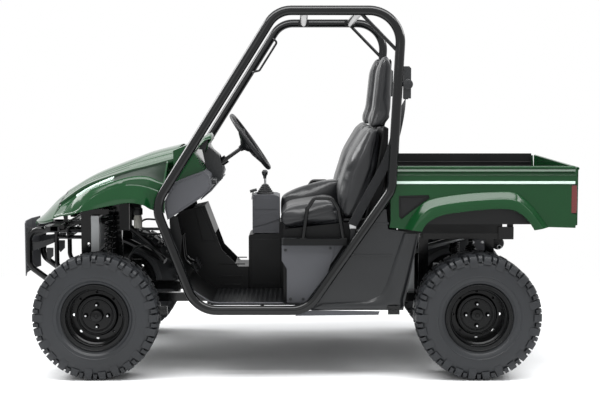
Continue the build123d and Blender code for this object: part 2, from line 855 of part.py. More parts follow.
def crowned_face(x, half_width, z_middle, z_side, z_low):
    """Cross-section in a YZ plane: an arched top over a flat base."""
    top = ThreePointArc((x, -half_width, z_side), (x, 0, z_middle), (x, half_width, z_side))
    corners = [(half_width, z_side), (half_width, z_low), (-half_width, z_low), (-half_width, z_side)]
    walls = Polyline(*[(x, y, z) for y, z in corners])
    return make_face([*top.edges(), *walls.edges()])


def hood():
    """Hood shell with side skirts and its two hinge lugs."""
    outer = []
    inner = []
    for drawn_x, z_middle, z_side in hood_sections:
        x = station(drawn_x)
        outer.append(crowned_face(x, hood_half_width, z_middle, z_side, z_side - hood_skirt))
        inner.append(crowned_face(x, hood_half_width - panel_wall, z_middle - panel_wall, z_side - panel_wall,
                                  z_side - 2 * hood_skirt))
    shell = ruled_shell(outer, inner)
    for side in (-1, 1):
        lug_y = side * hood_hinge_y
        lug = side_prism([(hood_hinge_x - 9, hood_hinge_z - 9), (hood_hinge_x + 3, hood_hinge_z - 9),
                          (hood_hinge_x + 3, hood_hinge_z), (hood_hinge_x - 14, hood_hinge_z + 28),
                          (hood_hinge_x - 40, hood_hinge_z + 45), (hood_hinge_x - 60, hood_hinge_z + 57)],
                         lug_y - 5, lug_y + 5)
        bore = Pos(hood_hinge_x, lug_y, hood_hinge_z) * Rot(90, 0, 0) * Cylinder(hood_hinge_radius + fit_gap, 20)
        shell = shell + lug - bore
    return shell


def fender():
    """Left fender shell from the hood's edge over the wheel."""
    faces = []
    for drawn_x, z_hood, drawn_crown, z_crown, drawn_lip, z_lip in fender_sections:
        x = station(drawn_x)
        y_crown = wide(drawn_crown)
        y_lip = wide(drawn_lip)
        faces.append(make_face(Polyline(
            (x, fender_inner_y, z_hood - hood_skirt - move_gap),
            (x, fender_inner_y, z_hood),
            (x, y_crown, z_crown),
            (x, y_lip, z_lip),
            (x, y_lip - panel_wall, z_lip),
            (x, y_crown - panel_wall, z_crown - panel_wall),
            (x, fender_inner_y + panel_wall, z_hood - panel_wall),
            (x, fender_inner_y + panel_wall, z_hood - hood_skirt - move_gap),
            close=True,
        )))
    boss_end = (fender_boss_x, hoop_inner_y - seat_gap, fender_boss_z)
    boss = rod((fender_boss_x, wide(596), fender_boss_z), boss_end, 8)
    return loft(faces, ruled=True) + boss


def nose():
    """Nose shell ahead of the hood."""
    outer = []
    inner = []
    last = nose_sections[-1][0]
    for drawn_x, drawn_half, z_middle, z_side in nose_sections:
        x = station(drawn_x)
        half_width = wide(drawn_half)
        outer.append(crowned_face(x, half_width, z_middle, z_side, z_side - nose_lip))
        shift = panel_wall if drawn_x == last else 0
        inner.append(crowned_face(x - shift, half_width - panel_wall, z_middle - panel_wall, z_side - panel_wall,
                                  z_side - 2 * nose_lip))
    return ruled_shell(outer, inner)


def headlamp():
    """Left headlamp, on the lamp bar."""
    x_back = lamp_bar_x + lamp_bar_radius + seat_gap
    points = [(x_back, 716), (station(1262), 720), (station(1288), 734), (station(1282), 744), (x_back, 744)]
    return side_prism(points, wide(280), wide(420))


# dash outline in side view, grey lower part: drawn x, z
dash_outline = [
    (617, 796),
    (dash_front, 850),
    (dash_front, 892),
    (585, 981),
    (531, 1006),
    (437, 1040),
    (410, 1017),
    (396, 969),
    (403, 946),
    (456, 901),
]
# green cowl above it
cowl_outline = [
    (585, 981 + seat_gap),
    (589, 1140),
    (512, 1172),
    (482, 1128),
    (437, 1040 + seat_gap),
    (531, 1006 + seat_gap),
]


def open_front_shell(points, cut_points, half_width):
    """Side-view outline made hollow and open at the front."""
    outer = side_prism(drawn(points), -half_width, half_width)
    inner = side_prism(drawn(cut_points), -half_width + panel_wall, half_width - panel_wall)
    return outer - inner


def dash():
    """Lower dash with its two side wings."""
    cut = [(640, 812), (640, 892), (589, 976), (531, 1001), (439, 1035), (414, 1014), (400.5, 969), (407, 949),
           (459, 905), (612, 805)]
    return open_front_shell(dash_outline, cut, floor_half_width) - column_clearance()


def cowl():
    """Upper cowl between the hood and the dash."""
    cut = [(600, 990), (600, 1130), (514, 1167), (486, 1127), (444, 1043.5), (533, 1011)]
    return open_front_shell(cowl_outline, cut, wide(575)) - column_clearance()


def radiator():
    """Radiator core with its two side tanks."""
    x_high = upright_x_low - seat_gap
    return block(x_high - 42, x_high, -250, 250, 590, upright_top - 30 - seat_gap)


def write_front_body():
    save("hood", hood())
    save("fender_left", fender())
    save("fender_right", mirror(fender(), about=Plane.XZ))
    save("nose_panel", nose())
    save("headlamps", *both_sides(headlamp()))
    save("dash_panel", dash())
    save("cowl_panel", cowl())
    save("radiator", radiator())


# ---------------------------------------------------------------- cab
# drawn stations
floor_front = 407
seat_box_front = 40
seat_box_rear = -330
ledge_rear = -279
console_front = 233
console_rear = 67

seat_box_x = station(seat_box_front)
seat_box_rear_x = station(seat_box_rear)
console_top = 880
console_half_width = 110
seat_box_front_z = 740
seat_box_rear_z = 781
toe_inset = 40
ledge_bottom = 665
ledge_top = 698
hip_bar_tube = 20
side_panel_wall = 4
belt_width = 46
belt_wall = 3
side_panel_inset = side_room * 0.27


def floor():
    """Floor plate with its centre tunnel and toe board."""
    step_x = station(-60)
    half = floor_half_width
    rear_half = floor_rear_half_width
    plate = block(step_x, station(floor_front), -half, half, floor_top - floor_wall, floor_top)
    plate += block(seat_box_rear_x, step_x, -rear_half, rear_half, floor_top - floor_wall, floor_top)
    toe = [(floor_front, floor_top), (538, 462), (580, 530), (598, 640), (612, 780), (606, 780), (592, 640),
           (574, 532), (534, 467), (floor_front - 6, floor_top)]
    plate += side_prism(drawn(toe), -half + toe_inset, half - toe_inset)
    tunnel = [(console_front + seat_gap, floor_top - 1), (console_front + seat_gap, tunnel_top),
              (287, tunnel_top), (377, 586), (466, 824), (608, 790), (590, 620), (570, 520), (420, floor_top - 1)]
    hollow = [(console_front - 1, floor_top - 20), (console_front - 1, tunnel_top - panel_wall),
              (285, tunnel_top - panel_wall), (374, 590), (470, 815), (700, 790), (700, floor_top - 20)]
    hump = side_prism(drawn(tunnel), -tunnel_half_width, tunnel_half_width)
    hump -= side_prism(drawn(hollow), -tunnel_half_width + panel_wall, tunnel_half_width - panel_wall)
    return plate + hump


def seat_line(x):
    """Height of the seat box's sloped top at a drawn x."""
    slope = (seat_box_rear_z - seat_box_front_z) / (seat_box_front - seat_box_rear)
    return seat_box_front_z + (seat_box_front - x) * slope


def seat_box():
    """Box under the seats with a ledge along each side."""
    foot = floor_top + seat_gap
    x_in = seat_box_x - panel_wall
    x_out = seat_box_rear_x - 10
    body = [(seat_box_x, foot), (seat_box_x, seat_box_front_z), (seat_box_rear_x, seat_box_rear_z),
            (seat_box_rear_x, foot)]
    inner = [(x_in, floor_top - 10), (x_in, seat_box_front_z - panel_wall),
             (x_out, seat_box_rear_z - panel_wall), (x_out, floor_top - 10)]
    box = side_prism(body, -seat_box_half_width, seat_box_half_width)
    box -= side_prism(inner, -seat_box_half_width + panel_wall, seat_box_half_width - panel_wall)
    for side in (-1, 1):
        y_low, y_high = sorted((side * (seat_box_half_width - 1), side * ledge_half_width))
        box += block(station(ledge_rear), seat_box_x, y_low, y_high, ledge_bottom, ledge_top)
    return box


def seat_cushion():
    """Left cushion, a plain closed solid."""
    base = [(50, seat_line(50) + seat_gap), (66, 801), (50, 847), (-71, 866), (-225, 890), (-262, 800),
            (-262, seat_line(-262) + seat_gap)]
    return side_prism(drawn(base), seat_half_gap, seat_outer_y)


def seat_back():
    """Left seat back with its tall head part, a plain closed solid."""
    lower = [(-262.4, seat_line(-262) + 1), (-262.4, 800), (-225.4, 890), (-292, 1100), (-392, 1262), (-470, 1262),
             (-440, 1060), (-380, seat_line(-380) + 1)]
    upper = [(-392, 1261), (-422, 1340), (-444, 1586), (-482, 1640), (-514, 1586), (-502, 1300), (-470, 1261)]
    back = side_prism(drawn(lower), seat_half_gap, seat_outer_y)
    half = seat_head_width / 2
    back += side_prism(drawn(upper), seat_middle_y - half, seat_middle_y + half)
    return back


def side_cover():
    """Left grey cover below the seat."""
    top = ledge_bottom - seat_gap
    foot = floor_top + seat_gap
    points = [(48, top), (48, 585), (23, 544), (23, foot), (-70, foot), (-262, top)]
    return side_prism(drawn(points), side_cover_y, side_cover_y + side_panel_wall)


def rear_side_panel():
    """Left black panel between the cab and the rear wheel."""
    points = [(-80, 339), (-563, 339), (-640, 727), (-484, 748), (-475, 847), (-415, 847), (-285, 664)]
    y = hoop_inner_y - side_panel_inset
    panel = side_prism(drawn(points), y - side_panel_wall, y)
    for drawn_x, z in ((-186, 500), (-394, 800)):
        x = station(drawn_x)
        panel += rod((x, y - 1, z), (x, hoop_inner_y - seat_gap, z), 8)
    return panel


def hip_bar():
    """Left bar beside the seat."""
    y = hip_bar_y
    foot = ledge_top + seat_gap
    outline = [(-60, foot + 3), (-80, 850), (-115, 903), (-200, 903), (-236, 850), (-262, foot + 3)]
    bar = bent_tube([(x, y, z) for x, z in drawn(outline)], [30, 24, 24, 30], hip_bar_tube)
    for x, z in drawn([outline[0], outline[-1]]):
        bar += block(x - 16, x + 16, y - 10, y + 10, foot, foot + 4)
    return bar


def console():
    """Console tower ahead of the seats and the hump between them."""
    foot = floor_top + seat_gap
    tower = [(console_front, foot), (console_front, 657), (212, 664), (212, console_top), (80, console_top),
             (console_rear, console_top - 12), (console_rear, 733), (seat_box_front + seat_gap, 733),
             (seat_box_front + seat_gap, foot)]
    return side_prism(drawn(tower), -console_half_width, console_half_width)


def hump():
    """Padded hump between the seats."""
    x_front = console_rear - seat_gap
    foot = seat_line(seat_box_front) + seat_gap
    points = [(x_front, foot), (x_front, 868), (17, 892), (-217, 962), (-268, 964),
              (-280, seat_line(-280) + seat_gap), (seat_box_front, foot)]
    half = seat_half_gap - 4
    return side_prism(drawn(points), -half, half)


def shifter():
    """Gear lever with its boot and knob."""
    lever_x = station(145)
    boot = Pos(lever_x, 40, console_top + seat_gap + 27) * Cone(48, 20, 54)
    lever = rod((lever_x, 40, 900), (lever_x + 2, 40, 990), 6)
    knob = Pos(lever_x + 2, 40, 994) * Sphere(17)
    return boot + lever + knob


def belt():
    """Left belt: reel behind the rear pillar, webbing down inside it and anchor plate."""
    z_high = hoop_top_z - 269
    z_low = z_high - 164
    x_high = rear_pillar_x(z_high) - hoop_tube / 2 - 2 * seat_gap
    y_high = hoop_inner_y - 4
    y_low = y_high - belt_width
    reel = block(x_high - 38, x_high, y_low, hoop_y, z_low, z_high)
    route = [(x_high - 14, z_low + 2), (station(-486), 1110), (station(-305), 765)]
    edge = [(x + belt_wall, z) for x, z in reversed(route)]
    webbing = side_prism(route + edge, y_low, y_high)
    panel_y = hoop_inner_y - side_panel_inset + seat_gap
    anchor = block(station(-318), station(-292), panel_y, panel_y + 5, 655, 772)
    return reel + webbing + anchor


def write_cab():
    save("floor_pan", floor())
    save("seat_box", seat_box())
    save("side_covers", *both_sides(side_cover()))
    save("rear_side_panel_left", rear_side_panel())
    save("rear_side_panel_right", mirror(rear_side_panel(), about=Plane.XZ))
    save("seat_cushion_left", seat_cushion())
    save("seat_cushion_right", mirror(seat_cushion(), about=Plane.XZ))
    save("seat_back_left", seat_back())
    save("seat_back_right", mirror(seat_back(), about=Plane.XZ))
    save("hip_bars", *both_sides(hip_bar()))
    save("console", console(), hump())
    save("gear_lever", shifter())
    save("belt_reels", *both_sides(belt()))


# ---------------------------------------------------------------- cargo bed
bed_front = -496
bed_front_x = station(bed_front)
bed_rear_x = tail_x + 34.5
tailgate_inner_x = tail_x + tailgate_wall
tailgate_hinge_x = tail_x + 10
tailgate_hinge_z = bed_floor_z - 1
tailgate_pin_radius = 6
lamp_rear_x = tail_x + 18
lamp_front = -1396
lamp_low_z = 828
lamp_high_z = 972
tailgate_ear_y = bed_inner_y - 60

# side panel outline: drawn x, z
bed_side_outline = [
    (bed_front, bed_rail_z),
    (bed_front, 780),
    (-490, 758),
    (-648, 742),
    (-676, 784),
    (-738, 819),
    (-836, 838),
    (-1003, 854),
    (-1094, 850),
    (-1143, 826),
    (-1185, 784),
    (-1207, 749),
    (-1420, 756),
    (-1424, 824),
    (lamp_front, lamp_low_z),
    (lamp_front, lamp_high_z),
    (-1424, 976),
    (-1410, bed_rail_z),
]


# crown of the flare over the wheel, with the lip it falls to: drawn x, z of each
flare_sections = [
    (-564, 752, -648, 742),
    (-619, 840, -676, 784),
    (-688, 897, -738, 819),
    (-861, 928, -836, 838),
    (-1035, 939, -1003, 854),
    (-1106, 935, -1094, 850),
    (-1148, 914, -1143, 826),
    (-1212, 854, -1185, 784),
    (-1283, 760, -1207, 749),
]
# section of the flare: part of the way from crown to lip, part of its full reach
flare_steps = [(0, 0), (0.2, 0.45), (0.6, 0.85), (1, 1)]
flare_reach = 45
# pressed lines of the side panel: z low, z high, height
bed_beads = [(976, 990, 3.5), (1018, 1022, 2), (1030, 1034, 2), (1054, bed_rail_z, 6)]


def bed_tub():
    """Inner box of the bed with its runners and hinge lugs."""
    y = bed_inner_y
    tub = block(bed_rear_x, bed_front_x, -y, y, bed_floor_z - bed_wall, bed_rail_z)
    tub -= block(bed_rear_x - 1, bed_front_x - bed_wall, -y + bed_wall, y - bed_wall, bed_floor_z, bed_rail_z + 1)
    y_low = subframe_y - subframe_width / 2
    y_high = subframe_y + subframe_width / 2
    for side in (-1, 1):
        low, high = sorted((side * y_low, side * y_high))
        tub += block(bed_hinge_x + 42, bed_front_x - 60, low, high, subframe_top + seat_gap,
                     bed_floor_z - bed_wall)
        lug_high = y_high - move_gap + 1
        low, high = sorted((side * (lug_high - hinge_lug_wall), side * lug_high))
        lug = block(bed_hinge_x - hinge_lug_radius, bed_hinge_x + hinge_lug_radius, low, high, bed_hinge_z,
                    bed_floor_z - bed_wall)
        bore = Pos(bed_hinge_x, (low + high) / 2, bed_hinge_z) * Rot(90, 0, 0)
        lug += bore * Cylinder(hinge_lug_radius, high - low)
        lug -= bore * Cylinder(hinge_pin_radius + fit_gap, 60)
        tub += lug
        ear_low, ear_high = sorted((side * tailgate_ear_y, side * (tailgate_ear_y + 12)))
        tub += block(bed_rear_x, bed_rear_x + 40, ear_low, ear_high, tailgate_hinge_z - 22,
                     bed_floor_z - bed_wall)
        tub += block(tailgate_hinge_x - 8, bed_rear_x + 1, ear_low, ear_high, tailgate_hinge_z - 12,
                     tailgate_hinge_z + 12)
        pin_low, pin_high = sorted((side * (tailgate_ear_y - 20), side * (tailgate_ear_y + 1)))
        tub += rod((tailgate_hinge_x, pin_low, tailgate_hinge_z), (tailgate_hinge_x, pin_high, tailgate_hinge_z),
                   tailgate_pin_radius)
    return tub


def bed_flare():
    """Left flare over the rear wheel."""
    faces = []
    for crown_x, crown_z, lip_x, lip_z in flare_sections:
        x = station(crown_x)
        x_fall = station(lip_x) - x
        z_fall = lip_z - crown_z
        outer = [
            (x + x_fall * along, bed_half_width + flare_reach * out, crown_z + z_fall * along)
            for along, out in flare_steps
        ]
        inner = [(x, y - panel_wall, z) for x, y, z in reversed(outer)]
        faces.append(make_face(Polyline(*outer, *inner, close=True)))
    return loft(faces, ruled=True)


def bed_side():
    """Left outer panel of the bed with its flare and pressed lines."""
    side = side_prism(drawn(bed_side_outline), bed_inner_y + seat_gap, bed_half_width) + bed_flare()
    for z_low, z_high, height in bed_beads:
        side += block(station(-1408), bed_front_x, bed_half_width - 1, bed_half_width + height, z_low, z_high)
    return side


def tail_lamp():
    """Left tail lamp in the rear edge of the side panel."""
    return block(lamp_rear_x, station(lamp_front) - seat_gap, bed_inner_y + 2, bed_half_width,
                 lamp_low_z + seat_gap, lamp_high_z - seat_gap)


def tailgate():
    """Tailgate with its hinge lugs."""
    gate_low = tailgate_hinge_z + 18
    gate = block(tail_x, tailgate_inner_x, -bed_inner_y + 5, bed_inner_y - 5, gate_low, bed_rail_z - 5)
    for side in (-1, 1):
        low, high = sorted((side * (tailgate_ear_y - 24), side * (tailgate_ear_y - 4)))
        lug = block(tailgate_hinge_x - 10, tailgate_hinge_x + 10, low, high, tailgate_hinge_z, gate_low + 1)
        bore = Pos(tailgate_hinge_x, (low + high) / 2, tailgate_hinge_z) * Rot(90, 0, 0)
        lug += bore * Cylinder(10, high - low)
        gate = gate + lug - bore * Cylinder(tailgate_pin_radius + fit_gap, 40)
    return gate


def write_bed():
    save("bed_tub", bed_tub())
    save("bed_side_left", bed_side())
    save("bed_side_right", mirror(bed_side(), about=Plane.XZ))
    save("tail_lamps", *both_sides(tail_lamp()))
    save("tailgate", tailgate())


os.makedirs("parts", exist_ok=True)
write_wheels()
write_cage()
write_frame()
write_guard()
write_drive()
write_steering()
write_front_body()
write_cab()
write_bed()
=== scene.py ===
"""Dresses the frame of an open two-seat utility vehicle with its bodywork, tyres, seats and finishes."""
import math
import bmesh
import bpy
from bpy.props import FloatProperty, FloatVectorProperty, IntProperty, PointerProperty
from mathutils import Matrix, Vector, geometry


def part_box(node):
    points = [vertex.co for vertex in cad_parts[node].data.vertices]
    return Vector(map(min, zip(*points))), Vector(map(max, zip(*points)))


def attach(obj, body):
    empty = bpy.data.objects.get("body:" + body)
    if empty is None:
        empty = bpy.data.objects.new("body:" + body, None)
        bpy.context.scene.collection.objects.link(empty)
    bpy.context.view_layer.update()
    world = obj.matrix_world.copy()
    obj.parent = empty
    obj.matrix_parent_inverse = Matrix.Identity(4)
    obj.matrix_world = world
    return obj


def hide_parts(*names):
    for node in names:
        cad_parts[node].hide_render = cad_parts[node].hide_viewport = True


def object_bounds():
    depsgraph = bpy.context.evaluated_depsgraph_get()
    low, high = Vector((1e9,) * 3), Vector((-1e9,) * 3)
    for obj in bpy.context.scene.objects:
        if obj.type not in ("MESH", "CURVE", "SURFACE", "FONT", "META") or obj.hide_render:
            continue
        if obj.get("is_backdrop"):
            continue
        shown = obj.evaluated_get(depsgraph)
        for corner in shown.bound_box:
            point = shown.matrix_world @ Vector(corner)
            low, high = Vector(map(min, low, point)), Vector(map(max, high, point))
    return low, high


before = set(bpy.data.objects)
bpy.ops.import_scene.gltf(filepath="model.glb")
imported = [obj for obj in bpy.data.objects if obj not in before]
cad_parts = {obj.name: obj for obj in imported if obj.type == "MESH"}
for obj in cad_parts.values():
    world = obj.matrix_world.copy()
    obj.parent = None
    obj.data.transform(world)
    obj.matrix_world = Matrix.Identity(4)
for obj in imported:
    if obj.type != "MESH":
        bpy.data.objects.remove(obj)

bl_info = {
    "name": "Open utility vehicle",
    "version": (1, 1, 0),
    "blender": (4, 5, 0),
    "location": "View3D > Sidebar > Vehicle",
    "description": "Builds the visible pieces and finishes of an open two-seat utility vehicle",
    "category": "Object",
}

CAD_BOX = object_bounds()
MM = 0.001


def node_centre(name):
    """Middle of a node's box, in millimetres."""
    low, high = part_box(name)
    return [(a + b) / 2 / MM for a, b in zip(low, high)]


def node_size(name):
    """Lengths of a node's box, in millimetres."""
    low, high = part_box(name)
    return [(b - a) / MM for a, b in zip(low, high)]


TYRE_RADIUS = node_size("front_left_tyre")[0] / 2


# ---------------------------------------------------------------- colours and sizes that a user would change
def linear(code):
    """Linear RGBA from an sRGB hex code."""
    values = [int(code[start:start + 2], 16) / 255 for start in (1, 3, 5)]
    return [v / 12.92 if v <= 0.04045 else ((v + 0.055) / 1.055) ** 2.4 for v in values] + [1.0]


def colour_property(name, description, code):
    """Colour field with a default from a hex code."""
    return FloatVectorProperty(name=name, description=description, default=linear(code), size=4, min=0, max=1,
                               subtype="COLOR")


def length_property(name, description, millimetres):
    """Length field with a default in millimetres."""
    return FloatProperty(name=name, description=description, default=millimetres * MM, min=0, unit="LENGTH")


class VehicleColours(bpy.types.PropertyGroup):
    """Colours of the finishes."""
    body: colour_property("Body", "Moulded body panels", "#0d391b")
    # pale mint of the fenders' vinyl pinstripe, also painted on the bed sides' bead as a painted highlight
    stripe: colour_property("Stripe", "Vinyl stripes", "#c9ddd3")
    band: colour_property("Band", "Dark printed band", "#16241a")
    grey: colour_property("Grey covers", "Grained covers", "#48494d")
    black: colour_property("Black covers", "Grained side panels", "#17191b")
    liner: colour_property("Liners", "Floor, tunnel and console foot", "#0c0d0e")
    tube: colour_property("Tubes", "Powder-coated tubes", "#0b0c0d")
    tyre: colour_property("Tyres", "Tyre rubber", "#212326")
    seat: colour_property("Seats", "Seat vinyl", "#1b1c1e")
    lens: colour_property("Tail lens", "Tail lamp lens", "#5e1715")


class VehicleSizes(bpy.types.PropertyGroup):
    """Sizes of the detail that the frame leaves open."""
    skin: length_property("Skin", "Wall of the moulded skins", 3)
    stripe: length_property("Stripe", "Width of the pinstripes", 8)
    block_depth: length_property("Block depth", "Depth of the tread blocks", 20)
    block_count: IntProperty(name="Blocks", description="Tread blocks round each shoulder", default=26,
                             min=12, max=36)
    wire: length_property("Spring wire", "Diameter of the spring wire", 10)
    coils: IntProperty(name="Coils", description="Coils of each spring", default=9, min=4, max=14)
    bolt: length_property("Bolt head", "Diameter of the bolt heads", 13)
    pad_cap: length_property("Pad swell", "How far a seat pad may swell", 10)
    seam_depth: length_property("Seam depth", "Depth of the sewn seams", 5)


class VehicleStudio(bpy.types.PropertyGroup):
    """Studio light and camera."""
    paper: colour_property("Floor", "Floor paper", "#f6f7f8")
    overhead: FloatProperty(name="Overhead", description="Power of the overhead strip", default=190, min=0,
                            unit="POWER")
    side: FloatProperty(name="Side", description="Power of the side softbox", default=14, min=0, unit="POWER")
    world: FloatProperty(name="World", description="Strength of the light from all round", default=0.6, min=0)
    lens: FloatProperty(name="Lens", description="Focal length", default=75.05, min=1, unit="CAMERA")


# ---------------------------------------------------------------- shapes
def spline(stations, steps):
    """Rows of numbers that pass smoothly through the given rows, `steps` to a span."""
    rows = []
    last = len(stations) - 1
    for span in range(last):
        before, start, end, after = (stations[max(0, min(last, span + k))] for k in (-1, 0, 1, 2))
        for step in range(steps):
            t = step / steps
            rows.append([
                0.5 * (2 * b + (c - a) * t + (2 * a - 5 * b + 4 * c - d) * t * t
                       + (3 * b - a - 3 * c + d) * t ** 3)
                for a, b, c, d in zip(before, start, end, after)
            ])
    rows.append(list(stations[-1]))
    return rows


def rounded(points, radius, steps=6):
    """Path whose inner corners are turned into curves."""
    path = [Vector(points[0])]
    for before, corner, after in zip(points, points[1:], points[2:]):
        before, corner, after = Vector(before), Vector(corner), Vector(after)
        reach_in, reach_out = min(radius, (before - corner).length / 2), min(radius,
                                                                             (after - corner).length / 2)
        start = corner + (before - corner).normalized() * reach_in
        end = corner + (after - corner).normalized() * reach_out
        for step in range(steps + 1):
            t = step / steps
            path.append(start * (1 - t) ** 2 + corner * 2 * t * (1 - t) + end * t * t)
    path.append(Vector(points[-1]))
    return path


class Shape:
    """Points and faces of one piece, in millimetres."""

    def __init__(self):
        self.points = []
        self.faces = []
        self.finishes = []

    def add(self, points, faces, finish=0):
        """Adds faces over new points; `finish` is a number, or a list with one for each face."""
        base = len(self.points)
        self.points.extend(tuple(point) for point in points)
        self.faces.extend([base + index for index in face] for face in faces)
        self.finishes.extend(finish if isinstance(finish, list) else [finish] * len(faces))

    def grid(self, rows, finish=0, around=False, along=False):
        """Skin over rows of points. `around` joins each row's ends, `along` the last row to the first.
        `finish` is a number or a function of row and column."""
        width = len(rows[0])
        faces = []
        finishes = []
        for r in range(len(rows) if along else len(rows) - 1):
            for c in range(width if around else width - 1):
                low, high = r * width, (r + 1) % len(rows) * width
                faces.append([low + c, low + (c + 1) % width, high + (c + 1) % width, high + c])
                finishes.append(finish(r, c) if callable(finish) else finish)
        self.add([point for row in rows for point in row], faces, finishes)

    def turned(self, profile, centre, count, finish=0, axis="Y"):
        """Revolves (radius, height) points about an axis through the centre."""
        rows = []
        for step in range(count):
            turn = 2 * math.pi * step / count
            row = []
            for radius, height in profile:
                a, b = radius * math.cos(turn), radius * math.sin(turn)
                offset = {"X": (height, a, b), "Y": (a, height, b), "Z": (a, b, height)}[axis]
                row.append([c + o for c, o in zip(centre, offset)])
            rows.append(row)
        self.grid(rows, finish, along=True)

    def swept(self, path, radius, finish=0, sides=10, closed=False):
        """Round bar along a path of points, its ends capped. `radius` is a number or one for each point."""
        points = [Vector(point) for point in path]
        count = len(points)
        radii = radius if isinstance(radius, list) else [radius] * count
        rows = []
        side = None
        for index, point in enumerate(points):
            if closed:
                ahead, behind = points[(index + 1) % count], points[index - 1]
            else:
                ahead, behind = points[min(index + 1, count - 1)], points[max(index - 1, 0)]
            along = (ahead - behind).normalized()
            if side is None:
                side = along.cross(Vector((0, 0, 1)) if abs(along.z) < 0.9 else Vector((0, 1, 0)))
            side = (side - along * side.dot(along)).normalized()
            up = along.cross(side)
            rows.append([
                point + (side * math.cos(turn) + up * math.sin(turn)) * radii[index]
                for turn in (2 * math.pi * step / sides for step in range(sides))
            ])
        self.grid(rows, finish, around=True, along=closed)
        if not closed:
            self.add(rows[0] + rows[-1],
                     [list(range(sides)), [2 * sides - 1 - step for step in range(sides)]], finish)

    def strap(self, path, across, width, wall, finish=0):
        """Flat band along a path; `across` is the direction of its width, or one for each point."""
        points = [Vector(point) for point in path]
        directions = across if isinstance(across, list) else [across] * len(points)
        rows = []
        for index, point in enumerate(points):
            along = points[min(index + 1, len(points) - 1)] - points[max(index - 1, 0)]
            across = Vector(directions[index]).normalized() * width / 2
            up = across.cross(along).normalized() * wall / 2
            rows.append([point - across - up, point + across - up, point + across + up, point - across + up])
        self.grid(rows, finish, around=True)
        self.add(rows[0] + rows[-1], [[0, 1, 2, 3], [7, 6, 5, 4]], finish)

    def prism(self, outline, y_low, y_high, finish=0):
        """Side-view outline of (x, z) points between two Y planes."""
        count = len(outline)
        points = [(x, y, z) for y in (y_low, y_high) for x, z in outline]
        faces = [list(range(count)), [2 * count - 1 - index for index in range(count)]]
        faces += [[i, i + count, (i + 1) % count + count, (i + 1) % count] for i in range(count)]
        self.add(points, faces, finish)

    def block(self, low, high, finish=0):
        """Box between two corners, for a piece that is bevelled later."""
        outline = [(low[0], low[2]), (high[0], low[2]), (high[0], high[2]), (low[0], high[2])]
        self.prism(outline, low[1], high[1], finish)

    def bolt(self, spot, side=1, size=6.5, height=5, finish=0, axis="Y"):
        """Hexagon bolt head on its washer, facing along +axis or -axis."""
        self.turned([(size * 1.5, 0), (size * 1.5, side * 1.5), (size, side * 1.5)], spot, 16, finish, axis)
        self.turned([(size, side * 1.5), (size, side * height * 0.8), (size * 0.8, side * height),
                     (0, side * height)],
                    spot, 6, finish, axis)

    def placed(self, origin, x_axis, z_axis):
        """The same shape, moved from its own axes to an origin and two directions."""
        z_axis = Vector(z_axis).normalized()
        x_axis = Vector(x_axis).normalized()
        turn = Matrix((x_axis, z_axis.cross(x_axis), z_axis)).transposed()
        other = Shape()
        other.add([turn @ Vector(point) + Vector(origin) for point in self.points], self.faces,
                  list(self.finishes))
        return other

    def mirrored(self):
        """The same shape on the other side of the vehicle."""
        other = Shape()
        other.add([(x, -y, z) for x, y, z in self.points], [face[::-1] for face in self.faces],
                  list(self.finishes))
        return other

    def both(self):
        """The shape and its mirror image in one."""
        other = self.mirrored()
        other.add(self.points, self.faces, list(self.finishes))
        return other

    def piece(self, name, body, finishes, slot, node=None, bevel=0.0, bevel_steps=2, crease_angle=35,
              wall=0.0):
        """Makes the object with its finishes and rides it on a body, in place of a node if one is named."""
        mesh = bpy.data.meshes.new(name)
        mesh.from_pydata([[value * MM for value in point] for point in self.points], [], self.faces)
        for finish in finishes.split():
            mesh.materials.append(bpy.data.materials[finish])
        mesh.polygons.foreach_set("material_index", self.finishes)
        tidy = bmesh.new()
        tidy.from_mesh(mesh)
        bmesh.ops.remove_doubles(tidy, verts=tidy.verts, dist=0.00002)
        bmesh.ops.recalc_face_normals(tidy, faces=tidy.faces)
        tidy.to_mesh(mesh)
        tidy.free()
        mesh.shade_smooth()
        mesh.set_sharp_from_angle(angle=math.radians(crease_angle))
        made = bpy.data.objects.new(name, mesh)
        bpy.context.scene.collection.objects.link(made)
        if wall:
            shell = made.modifiers.new("wall", "SOLIDIFY")
            shell.thickness = wall * MM
            shell.offset = -1
        if bevel:
            edge = made.modifiers.new("edge", "BEVEL")
            edge.width = bevel * MM
            edge.segments = bevel_steps
            edge.limit_method = "ANGLE"
            edge.angle_limit = math.radians(crease_angle)
            edge.harden_normals = True
        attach(made, body)
        for name in (node or "").split():
            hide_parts(name)
        return made


# ---------------------------------------------------------------- finishes
def add_node(tree, kind, inputs=None, **settings):
    """Adds a node, sets its settings, and sets or links its inputs."""
    made = tree.nodes.new(kind)
    for name, value in settings.items():
        setattr(made, name, value)
    for name, value in (inputs or {}).items():
        if isinstance(value, bpy.types.NodeSocket):
            tree.links.new(value, made.inputs[name])
        else:
            made.inputs[name].default_value = value
    return made


